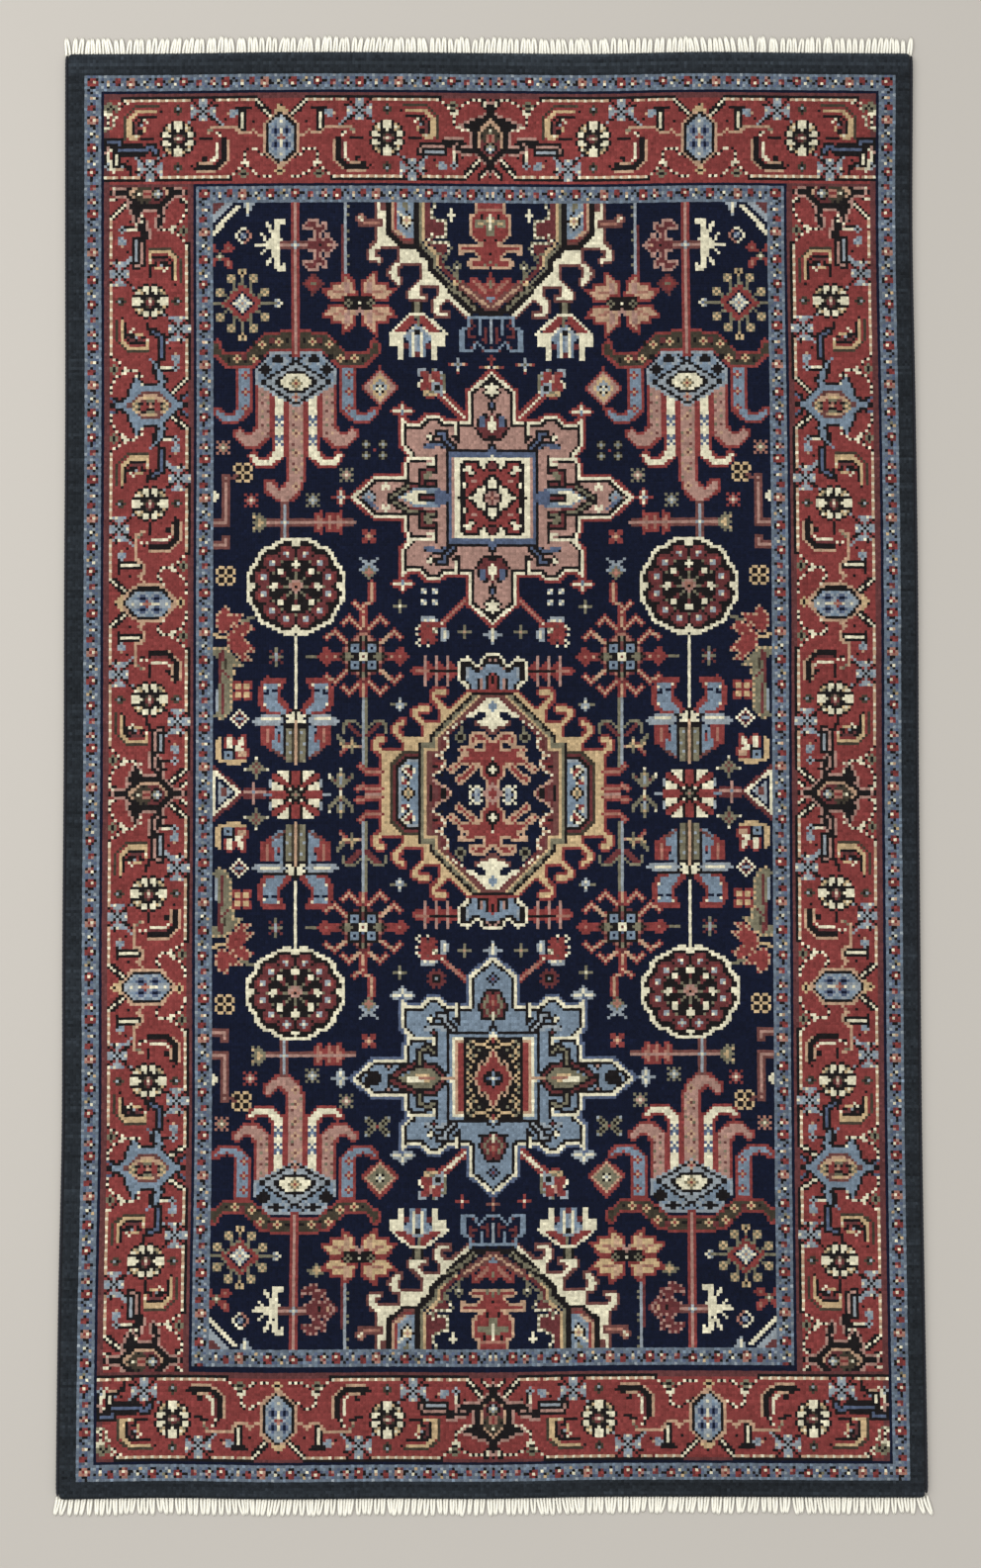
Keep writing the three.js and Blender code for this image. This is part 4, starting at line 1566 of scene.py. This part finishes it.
def rug_place(column, row):
    """Metres across and along for places counted in knots from the far left corner.

    A place lies at an even share of the way between the two sides and the two ends. Near a corner the
    square is drawn in to a quarter circle: both distances shrink by the greater over their diagonal.
    """
    column = np.interp(column, EVEN_COLUMNS, TRUE_COLUMNS)
    row = np.interp(row, EVEN_ROWS, TRUE_ROWS)
    across, along = column / COLUMNS, row / ROWS
    left = -HALF_WIDTH - edge_out(LEFT_SIDE_OUT, along)
    right = HALF_WIDTH + edge_out(RIGHT_SIDE_OUT, along)
    far = HALF_LENGTH + edge_out(FAR_END_OUT, across)
    near = -HALF_LENGTH - edge_out(NEAR_END_OUT, across)
    rounding = CORNER_ROUNDING / KNOT
    into_x = np.clip(1 - np.minimum(column, COLUMNS - column) / rounding, 0, 1)
    into_y = np.clip(1 - np.minimum(row, ROWS - row) / rounding, 0, 1)
    draw_in = 1 - np.maximum(into_x, into_y) / np.maximum(np.hypot(into_x, into_y), TINY)
    x = left + (right - left) * across
    y = far + (near - far) * along
    x -= np.sign(column - COLUMNS / 2) * into_x * draw_in * CORNER_ROUNDING
    y += np.sign(row - ROWS / 2) * into_y * draw_in * CORNER_ROUNDING
    return x, y


def smooth_noise(random, shape, cells):
    """Seeded values from -1 to 1 over the shape, cubic between random ones at cells per axis."""
    values = random.uniform(-1, 1, [cells[0] + 3, cells[1] + 3])
    for axis in (0, 1):
        place = np.linspace(1, cells[axis] + 1 - TINY, shape[axis])
        start = place.astype(int)
        step = (place - start).reshape([-1, 1] if axis == 0 else [1, -1])
        ease = step * step * (3 - 2 * step)
        low, high = np.take(values, start, axis), np.take(values, start + 1, axis)
        values = low + (high - low) * ease
    return values


def pile_corners(cartoon):
    """The corners of all the knots, as grids of x, y and z.

    Each corner is its even place plus a little seeded jitter, none at the rug's rim. Its height is the
    pile's, plus the mean growth of the wools that meet there, a slow swell and a fine jitter, less a
    rounding off over the last knots before the rim.
    """
    random = np.random.default_rng(SEED)
    row, column = np.mgrid[0:ROWS + 1, 0:COLUMNS + 1].astype(float)
    x, y = rug_place(column, row)
    rim = np.minimum(np.minimum(column, COLUMNS - column), np.minimum(row, ROWS - row))
    inside = rim > 0
    x += random.uniform(-1, 1, x.shape) * KNOT_JITTER * inside
    y += random.uniform(-1, 1, x.shape) * KNOT_JITTER * inside
    growths = np.array([WOOL_GROWTHS.get(letter, 0.0) for letter in WOOLS])
    growth = np.pad(growths[cartoon] * MM, 1, mode="edge")
    z = PILE_TOP + (growth[1:, 1:] + growth[:-1, 1:] + growth[1:, :-1] + growth[:-1, :-1]) / 4
    z += PILE_SWELL * smooth_noise(random, x.shape, SWELL_CELLS)
    z += PILE_JITTER * random.uniform(-1, 1, x.shape)
    z -= RIM_DROP * np.clip(1 - rim / RIM_KNOTS, 0, 1) ** 2
    return x, y, z


def back_corners():
    """The corners of the back's faces, as grids: even places, with a ridge at every other corner."""
    row, column = np.mgrid[0:ROWS + 1:BACK_STEP, 0:COLUMNS + 1:BACK_STEP].astype(float)
    x, y = rug_place(column, row)
    ridge = (row + column) / BACK_STEP % 2
    return x, y, WEB_BOTTOM + BACK_RIDGE * ridge


# Colours of the single knots
def linear(colour):
    """Scene-linear values from 0 to 1 of a colour given as seen, from 0 to 255, by the sRGB curve."""
    share = np.asarray(colour, float) / 255
    return np.where(share <= 0.04045, share / 12.92, ((share + 0.055) / 1.055) ** 2.4)


def knot_colours(cartoon):
    """The colour of each knot: its wool's, times a seeded tone.

    The tone is e to the power of a sum: a share of the knot's own, of its row's and of its dye lot's,
    and on charcoal more of the first two and what the place down the rug gives.
    """
    random = np.random.default_rng(SEED + 1)
    palette = np.array([linear(colour) for _, colour in WOOLS.values()])
    own = random.normal(0, 1, cartoon.shape)
    streak = np.repeat(random.normal(0, 1, (ROWS, 1)), COLUMNS, axis=1)
    streak = streak + SLOW_STREAK * smooth_noise(random, cartoon.shape, STREAK_CELLS)
    lot = smooth_noise(random, cartoon.shape, LOT_CELLS)
    tone = OWN_TONE * own + STREAK_TONE * streak + LOT_TONE * lot
    row = np.arange(ROWS)[:, np.newaxis] + 0.5
    band = np.interp(row, CHARCOAL_ROWS, CHARCOAL_TONES)
    band = band + CHARCOAL_STREAK_TONE * streak + CHARCOAL_OWN_TONE * own
    tone += band * (cartoon == wool_number("c"))
    return palette[cartoon] * np.exp(tone)[..., np.newaxis]


# Meshes
def new_piece(name, points, faces, finish, smooth=False):
    """A mesh piece of the rug from points and a list of face arrays, each face a row of corners."""
    mesh = bpy.data.meshes.new(name)
    corners = np.concatenate([part.ravel() for part in faces]).astype(np.int32)
    sizes = np.concatenate([np.full(len(part), part.shape[1]) for part in faces])
    starts = np.concatenate([[0], np.cumsum(sizes)[:-1]]).astype(np.int32)
    mesh.vertices.add(len(points))
    mesh.vertices.foreach_set("co", points.astype(np.float32).ravel())
    mesh.loops.add(len(corners))
    mesh.loops.foreach_set("vertex_index", corners)
    mesh.polygons.add(len(starts))
    mesh.polygons.foreach_set("loop_start", starts)
    mesh.polygons.foreach_set("use_smooth", np.full(len(starts), smooth))
    mesh.update(calc_edges=True)
    mesh.materials.append(finish)
    piece = bpy.data.objects.new(name, mesh)
    bpy.context.scene.collection.objects.link(piece)
    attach(piece, "root")
    return piece


def add_uv(piece, name, places):
    """A UV map with a place for every face corner."""
    layer = piece.data.uv_layers.new(name=name)
    layer.uv.foreach_set("vector", places.astype(np.float32).ravel())


def add_face_colours(piece, colours):
    """The wool's colour on every face."""
    layer = piece.data.attributes.new(WOOL_COLOUR, "FLOAT_COLOR", "FACE")
    rgba = np.concatenate([colours, np.ones((len(colours), 1))], axis=1)
    layer.data.foreach_set("color", rgba.astype(np.float32).ravel())


def frame_loop(top, bottom, left, right):
    """Rows and columns of the corners round a rectangle of knots: four runs, anticlockwise from above."""
    down, along = np.arange(top, bottom + 1), np.arange(left, right + 1)
    return [
        (down, np.full(down.shape, left)),
        (np.full(along.shape, bottom), along),
        (down[::-1], np.full(down.shape, right)),
        (np.full(along.shape, top), along[::-1]),
    ]


def knotted_body(name, grids, colours, outer, hole, floor_height, finish, upward=True):
    """A closed body whose one side is knots: walls and plain closing faces make up the rest.

    outer and hole are the rows and columns (top, bottom, left, right) where it starts and ends. The
    knots' faces are the squares of the grid between them. Walls drop from its border to floor_height,
    and many-cornered faces close it there, four of them, one for each run of the border, round a hole
    and a single one where there is no hole.
    """
    x, y, z = grids
    top, bottom, left, right = outer
    used = np.zeros((x.shape[0] - 1, x.shape[1] - 1), bool)
    used[top:bottom, left:right] = True
    if hole:
        used[hole[0]:hole[1], hole[2]:hole[3]] = False
    row, column = np.nonzero(used)
    width = x.shape[1]
    corner = row * width + column
    loops = [frame_loop(*outer)] + ([frame_loop(*hole)] if hole else [])
    points = [np.stack([x.ravel(), y.ravel(), z.ravel()], axis=1)]
    faces = [np.stack([corner, corner + width, corner + width + 1, corner + 1], axis=1)]
    shades = [colours[row, column]]
    count = x.size
    lower_runs = []
    for number, runs in enumerate(loops):
        rows = np.concatenate([run[0][:-1] for run in runs])
        columns = np.concatenate([run[1][:-1] for run in runs])
        upper = rows * width + columns
        lower = count + np.arange(len(upper))
        foot = np.full(len(rows), floor_height)
        points.append(np.stack([x[rows, columns], y[rows, columns], foot], axis=1))
        count += len(upper)
        ahead = np.roll(np.arange(len(upper)), -1)
        walls = np.stack([upper, lower, lower[ahead], upper[ahead]], axis=1)
        faces.append(walls if number == 0 else walls[:, ::-1])
        beside = np.minimum(rows, used.shape[0] - 1), np.minimum(columns, used.shape[1] - 1)
        shades.append(colours[beside])
        starts = np.cumsum([0] + [len(run[0]) - 1 for run in runs])
        lower_runs.append([
            np.append(lower[first:last], lower[last % len(lower)])
            for first, last in zip(starts, starts[1:])
        ])
    if hole:
        closing = [np.concatenate([inner, outside[::-1]]) for outside, inner in zip(*lower_runs)]
    else:
        closing = [np.concatenate([run[:-1] for run in lower_runs[0]])[::-1]]
    faces += [face[np.newaxis, :] for face in closing]
    shades += [colours[row[:1], column[:1]]] * len(closing)
    points = np.concatenate(points)
    if not upward:
        faces = [part[:, ::-1] for part in faces]
    kept = np.zeros(len(points), bool)
    for part in faces:
        kept[part.ravel()] = True
    renumbered = np.cumsum(kept) - 1
    faces = [renumbered[part] for part in faces]
    piece = new_piece(name, points[kept], faces, finish)
    add_face_colours(piece, np.concatenate(shades))
    add_knot_maps(piece, np.stack([row, column], axis=1), [part.shape for part in faces[1:]], upward)
    return piece


def add_knot_maps(piece, places, others, upward):
    """The piece's two UV maps: knots, one unit to a knot, and OFBake, laid out once over the piece.

    On the second the knots lie as on the rug. Walls and closing faces, which hardly show, share a strip
    along its margin: each is a regular polygon on a small circle there, and on the first map too.
    """
    order = np.array([(0, 0), (1, 0), (1, 1), (0, 1)])
    if not upward:
        order = order[::-1]
    corners = (places[:, np.newaxis, :] + order).astype(float)
    knots = corners[..., ::-1].reshape(-1, 2)
    low, high = knots.min(axis=0), knots.max(axis=0)
    laid = MAP_MARGIN + (1 - 2 * MAP_MARGIN) * (knots - low) / (high - low)
    laid[:, 1] = 1 - laid[:, 1]
    all_knots, all_laid = [knots], [laid]
    for faces, sides in others:
        turn = np.linspace(0, 2 * np.pi, sides, endpoint=False)
        circle = np.stack([np.cos(turn), np.sin(turn)], axis=1)
        along = np.linspace(MAP_MARGIN, 1 - MAP_MARGIN, faces)[:, np.newaxis, np.newaxis]
        spot = np.concatenate([along, np.full((faces, 1, 1), MAP_MARGIN / 2)], axis=2)
        all_laid.append((spot + circle * MAP_MARGIN / 4).reshape(-1, 2))
        all_knots.append(np.broadcast_to(0.5 + WALL_SPOT * circle, (faces, sides, 2)).reshape(-1, 2))
    add_uv(piece, "knots", np.concatenate(all_knots))
    add_uv(piece, "OFBake", np.concatenate(all_laid))


# Finishes
class Wire:
    """One value, vector or colour of a finish; sums with it add the Math nodes that they stand for."""

    def __init__(self, finish, socket):
        self.finish = finish
        self.socket = socket

    def math(self, operation, *values):
        return self.finish.node("ShaderNodeMath", {"operation": operation}, dict(enumerate(values)))

    def __add__(self, other):
        return self.math("ADD", self, other)

    def __sub__(self, other):
        return self.math("SUBTRACT", self, other)

    def __rsub__(self, other):
        return self.math("SUBTRACT", other, self)

    def __mul__(self, other):
        return self.math("MULTIPLY", self, other)

    def at_least(self, other):
        return self.math("MAXIMUM", self, other)

    def fraction(self):
        return self.math("FRACT", self)

    __radd__ = __add__
    __rmul__ = __mul__


class Finish:
    """A material that is built node by node; its surface is one Principled shader."""

    def __init__(self, name, roughness, sheen):
        self.material = bpy.data.materials.new(name)
        self.material.use_nodes = True
        self.tree = self.material.node_tree
        self.shader = self.tree.nodes["Principled BSDF"]
        for socket, value in (("Roughness", roughness), ("Specular IOR Level", FIBRE_GLOSS),
                              ("Sheen Weight", sheen), ("Sheen Roughness", SHEEN_ROUGHNESS)):
            self.shader.inputs[socket].default_value = value
        self.place = self.node("ShaderNodeTexCoord", output="Object")

    def node(self, kind, settings=None, inputs=None, output=0):
        """A node of any kind, its settings set first, then its sockets given values or wired."""
        node = self.tree.nodes.new(kind)
        for name, value in (settings or {}).items():
            setattr(node, name, value)
        for name, value in (inputs or {}).items():
            if isinstance(value, Wire):
                self.tree.links.new(value.socket, node.inputs[name])
            else:
                node.inputs[name].default_value = value
        return Wire(self, node.outputs[output])

    def noise(self, scale, detail):
        """Noise on Object coordinates, scale being its lumps to a metre."""
        inputs = {"Vector": self.place, "Scale": scale, "Detail": detail}
        return self.node("ShaderNodeTexNoise", None, inputs)

    def part(self, vector, axis):
        """A vector's value on one axis."""
        return self.node("ShaderNodeSeparateXYZ", None, {"Vector": vector}, axis)

    def tint(self, colour, tone):
        """A colour times a tone."""
        grey = self.node("ShaderNodeCombineColor", None, {0: tone, 1: tone, 2: tone})
        return self.node("ShaderNodeMix", {"data_type": "RGBA", "blend_type": "MULTIPLY"},
                         {"Factor": 1.0, MIX_FIRST: colour, MIX_SECOND: grey}, MIX_RESULT)

    def connect(self, colour, height, depth):
        """Wires the colour, and the height as a bump of the given depth in metres."""
        inputs = {"Height": height, "Distance": depth, "Strength": 1.0}
        normal = self.node("ShaderNodeBump", None, inputs)
        self.tree.links.new(colour.socket, self.shader.inputs["Base Color"])
        self.tree.links.new(normal.socket, self.shader.inputs["Normal"])
        return self.material


def wool_pile_finish():
    """Knotted pile: the knot's own colour, speckled by its fibres, each knot a little rounded tuft.

    The tuft's height is the product over both ways of 4 t (1 - t), where t is the share of the way
    across the knot. The fibres are a fine noise and a coarser one in both the tone and the height.
    """
    finish = Finish("wool_pile", 0.95, 0.04)
    knots = finish.node("ShaderNodeUVMap", {"uv_map": "knots"})
    wool = finish.node("ShaderNodeAttribute", {"attribute_name": WOOL_COLOUR})
    fine = finish.noise(1500.0, 2.0)
    coarse = finish.noise(420.0, 3.0)
    tone = fine * 0.34 + coarse * 0.46 + 0.60
    share_x, share_y = (finish.part(knots, axis).fraction() for axis in ("X", "Y"))
    tuft = share_x * (1 - share_x) * share_y * (1 - share_y) * 16.0
    height = tuft * 0.55 + fine * 0.3 + coarse * 0.5
    return finish.connect(finish.tint(wool, tone), height, 0.9 * MM)


def cord_finish():
    """Overcast wool yarn, dark charcoal, speckled and ridged by a fine noise and a coarse one."""
    finish = Finish("side_cord_wool", 0.95, 0.12)
    fine = finish.noise(1400.0, 2.0)
    coarse = finish.noise(160.0, 3.0)
    tone = fine * 0.6 + coarse * 0.6 + 0.4
    ground = (*linear(CORD_COLOUR), 1.0)
    return finish.connect(finish.tint(ground, tone), fine + coarse, 0.6 * MM)


def cotton_finish():
    """Twisted cotton: ivory, with a slanting twist, and a painted highlight on top of the strand with
    painted shade along its sides.

    The strand's own map carries both the twist and the painted light. Its y is 0 at one side, 1 on top
    and 2 at the other side, and the painted highlight goes as y (2 - y), no less than 0.
    """
    finish = Finish("fringe_cotton", 0.85, 0.15)
    strand = finish.node("ShaderNodeUVMap", {"uv_map": "strand"})
    twist = finish.node("ShaderNodeTexWave", {"wave_type": "BANDS", "bands_direction": "DIAGONAL"},
                        {"Vector": strand, "Scale": 0.5, "Distortion": 0.6}, "Fac")
    fibre = finish.noise(900.0, 2.0)
    patch = finish.noise(90.0, 2.0)
    turn = finish.part(strand, "Y")
    # painted light: a painted highlight on the strand's top and painted shade along its sides, as a tone
    painted_crest_light = (turn * (2.0 - turn)).at_least(0.0)
    tone = (twist * 0.1 + fibre * 0.1 + patch * 0.1 + 0.92) * (painted_crest_light * 0.45 + 0.6)
    ground = (*linear(COTTON_COLOUR), 1.0)
    return finish.connect(finish.tint(ground, tone), twist + fibre * 0.5, 0.5 * MM)


# Side cords and fringes
def tube_faces(steps, sides):
    """Squares of a tube's grid, steps rings of sides corners, with a many-cornered face on each end."""
    ring, corner = np.mgrid[0:steps - 1, 0:sides]
    here = ring * sides + corner
    ahead = ring * sides + (corner + 1) % sides
    squares = np.stack([here, ahead, sides + ahead, sides + here], axis=-1)
    first = np.arange(sides)[::-1]
    return squares.reshape(-1, 4), first, (steps - 1) * sides + np.arange(sides)


def side_cord(name, node, out, direction, finish):
    """An overcast cord: a rounded oblong section carried along the side of the cloth.

    The section is a superellipse, its radius swelling by the wrapping's depth as the size of a sine of
    the place along it plus the angle round it, so the turns of yarn run slantwise. Both ends draw in.
    """
    share, turn = np.meshgrid(np.linspace(0, 1, CORD_STEPS), np.arange(CORD_SIDES) / CORD_SIDES,
                              indexing="ij")
    edge = direction * (HALF_WIDTH + edge_out(out, share))
    length = 2 * HALF_LENGTH
    wrap = np.abs(np.sin(np.pi * (share * length / WRAP_PITCH + turn)))
    ends = np.clip(np.minimum(share, 1 - share) * length / (2 * CORD_HEIGHT), 0, 1)
    swell = 1 - WRAP_DEPTH / CORD_WIDTH * 2 * (1 - wrap)
    swell = swell * (CORD_END_SIZE + (1 - CORD_END_SIZE) * np.sqrt(ends * (2 - ends)))
    cosine, sine = np.cos(2 * np.pi * turn), np.sin(2 * np.pi * turn)
    flat = np.sign(cosine) * np.abs(cosine) ** CORD_SQUARENESS * CORD_WIDTH / 2
    tall = np.sign(sine) * np.abs(sine) ** CORD_SQUARENESS * CORD_HEIGHT / 2
    x = edge + direction * (SEAM_GAP + CORD_WIDTH / 2) + flat * swell
    y = (HALF_LENGTH - CORNER_ROUNDING / 2) * (1 - 2 * share)
    points = np.stack([x, y, CORD_HEIGHT / 2 + tall * swell], axis=-1)
    squares, first, last = tube_faces(CORD_STEPS, CORD_SIDES)
    faces = [squares, first[np.newaxis], last[np.newaxis]]
    cord = new_piece(name, points.reshape(-1, 3), faces, finish, smooth=True)
    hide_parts(node)
    return cord


def fringe(name, node, out, direction, finish, seed):
    """A fringe of looped cotton strands, each a tube along a narrow U that leans, lying on the floor.

    Along a loop its own x goes as minus the cosine of an angle that sweeps half a turn, and its reach
    goes as that angle's sine to a small power, so both legs are straight and the end is round. It
    leans by a power of its share of the reach, comes down from the web's height to the floor, and
    every other loop lies a little higher, over its neighbours. The tube's section is a flat diamond.
    """
    random = np.random.default_rng(SEED + seed)
    span = 2 * (HALF_WIDTH + SEAM_GAP + CORD_WIDTH)
    number = np.arange(LOOPS)
    middle = -span / 2 + span * (number + 0.5) / LOOPS + random.normal(0, LOOP_STRAY, LOOPS)
    drift = smooth_noise(random, (LOOPS, 1), (DRIFT_CELLS, 1))[:, 0]
    lean = LEAN_DRIFT * drift + random.normal(0, LEAN_SPREAD, LOOPS)
    outermost = np.clip(np.abs(middle) / (span / 2) * CORNER_SHARE - (CORNER_SHARE - 1), 0, 1)
    lean += CORNER_LEAN * outermost * np.sign(middle)
    reach = LOOP_LENGTH * (1 + random.normal(0, LENGTH_SPREAD, LOOPS))
    gap = LOOP_GAP * random.uniform(*GAP_SPREAD, LOOPS)
    layer = np.where(number % 2 == 0, 0.0, 1.0) * random.uniform(*LAYER_SPREAD, LOOPS)

    sweep = np.linspace(0, np.pi, LOOP_STEPS)
    sweep = sweep - LEG_CROWDING * np.sin(2 * sweep)
    across = -np.cos(sweep)[np.newaxis, :] * gap[:, np.newaxis] / 2
    outward = np.sin(sweep)[np.newaxis, :] ** LEG_POWER * reach[:, np.newaxis]
    share = outward / LOOP_LENGTH
    x = middle[:, np.newaxis] + across + lean[:, np.newaxis] * share**LEAN_POWER
    edge = HALF_LENGTH + edge_out(out, np.clip(middle / (2 * HALF_WIDTH) + 0.5, 0, 1))
    y = direction * (edge[:, np.newaxis] - LOOP_TUCK + outward)
    fall = np.clip(share * FALL_RATE, 0, 1)
    z = STRAND_RADIUS * REST_RADII + (WEB_TOP - STRAND_RADIUS * ROOT_RADII) * (1 - fall) ** 2
    hump = np.sin(np.pi * np.clip(share, 0, 1)) ** 2
    z = z + layer[:, np.newaxis] * STRAND_RADIUS * hump * LAYER_RADII
    path = np.stack([x, y, z], axis=-1)

    along = np.gradient(path, axis=1)
    along /= np.linalg.norm(along, axis=-1, keepdims=True)
    side = np.stack([along[..., 1], -along[..., 0], np.zeros_like(x)], axis=-1)
    side /= np.linalg.norm(side, axis=-1, keepdims=True)
    up = np.cross(side, along)
    angle = 2 * np.pi * np.arange(STRAND_SIDES) / STRAND_SIDES
    ring = side[:, :, np.newaxis] * np.cos(angle)[:, np.newaxis]
    ring = ring + up[:, :, np.newaxis] * STRAND_FLATNESS * np.sin(angle)[:, np.newaxis]
    points = path[:, :, np.newaxis] + STRAND_RADIUS * ring

    squares, first, last = tube_faces(LOOP_STEPS, STRAND_SIDES)
    start = (number * LOOP_STEPS * STRAND_SIDES)[:, np.newaxis]
    faces = [(squares[np.newaxis] + start[..., np.newaxis]).reshape(-1, 4), first + start, last + start]
    faces = [part[:, ::-1] for part in faces]
    piece = new_piece(name, points.reshape(-1, 3), faces, finish, smooth=True)
    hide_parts(node)
    add_strand_map(piece)
    return piece


def add_strand_map(piece):
    """The strands' UV map: x along the strand, two to a ring, and y round it, one to a corner."""
    mesh = piece.data
    corners = np.empty(len(mesh.loops), np.int32)
    mesh.loops.foreach_get("vertex_index", corners)
    ring = corners // STRAND_SIDES % LOOP_STEPS
    side = corners % STRAND_SIDES
    add_uv(piece, "strand", np.stack([ring * 2.0, side * 1.0], axis=1))


# Floor, light and camera
def add_to_scene(name, data):
    """A new object of the scene with the given mesh, lamp or lens."""
    thing = bpy.data.objects.new(name, data)
    bpy.context.scene.collection.objects.link(thing)
    return thing


def plain_floor():
    """A pale matt floor, the size of a room."""
    corners = [(x * FLOOR_HALF, y * FLOOR_HALF, 0) for x, y in ((-1, -1), (1, -1), (1, 1), (-1, 1))]
    mesh = bpy.data.meshes.new("floor")
    mesh.from_pydata(corners, [], [(0, 1, 2, 3)])
    paint = bpy.data.materials.new("floor_paint")
    paint.use_nodes = True
    shader = paint.node_tree.nodes["Principled BSDF"]
    shader.inputs["Base Color"].default_value = (*linear(FLOOR_COLOUR), 1.0)
    shader.inputs["Roughness"].default_value = FLOOR_ROUGHNESS
    mesh.materials.append(paint)
    add_to_scene("floor", mesh)


def soft_light(name, place, size, power):
    """A square lamp at place that faces the rug's middle."""
    lamp = bpy.data.lights.new(name, "AREA")
    lamp.size = size
    lamp.energy = power
    light = add_to_scene(name, lamp)
    light.location = place
    x, y, z = place
    light.rotation_euler = (math.atan2(math.hypot(x, y), z), 0, math.atan2(-x, y) + math.pi)


def even_light(strength):
    """White light from all round."""
    world = bpy.data.worlds.new("studio")
    world.use_nodes = True
    background = world.node_tree.nodes["Background"]
    background.inputs["Color"].default_value = (1, 1, 1, 1)
    background.inputs["Strength"].default_value = strength
    bpy.context.scene.world = world


def photo_camera():
    """The camera over the rug, as fitted to the photograph."""
    lens = bpy.data.cameras.new("camera")
    lens.sensor_fit = "VERTICAL"
    lens.sensor_height = SENSOR_HEIGHT
    lens.lens = CAMERA_PIXELS_TO_LENS * SENSOR_HEIGHT / PHOTO_SIZE[1]
    camera = add_to_scene("camera", lens)
    camera.location = CAMERA_PLACE
    camera.rotation_euler = [math.radians(turn) for turn in CAMERA_TURN]
    bpy.context.scene.camera = camera


# The pieces of the rug
cartoon = draw_cartoon()
colours = knot_colours(cartoon)
pile_grids = pile_corners(cartoon)
wool = wool_pile_finish()
frames = [(far, ROWS - near, side, COLUMNS - side) for _, far, near, side in PILE_ZONES]
pile = [
    knotted_body(zone[0], pile_grids, colours, outer, hole, WEB_TOP, wool)
    for zone, outer, hole in zip(PILE_ZONES, frames, frames[1:] + [None])
]

# The web has a face to every few knots each way, in the colour of the knot in their middle
back_grids = back_corners()
back_rows, back_columns = (size - 1 for size in back_grids[0].shape)
back_colours = colours[BACK_STEP // 2::BACK_STEP, BACK_STEP // 2::BACK_STEP]
web = knotted_body("woven_web", back_grids, back_colours, (0, back_rows, 0, back_columns), None,
                   WEB_TOP, wool, upward=False)
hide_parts("rug_cloth")

cord_wool = cord_finish()
cords = [
    side_cord("overcast_cord_left", "side_cord_left", LEFT_SIDE_OUT, -1, cord_wool),
    side_cord("overcast_cord_right", "side_cord_right", RIGHT_SIDE_OUT, 1, cord_wool),
]
cotton = cotton_finish()
fringes = [
    fringe("looped_fringe_far", "fringe_far_end", FAR_END_OUT, 1, cotton, 2),
    fringe("looped_fringe_near", "fringe_near_end", NEAR_END_OUT, -1, cotton, 3),
]

plain_floor()
even_light(EVEN_LIGHT)
for lamp in LAMPS:
    soft_light(*lamp)
bpy.context.scene.view_settings.view_transform = "Standard"
photo_camera()
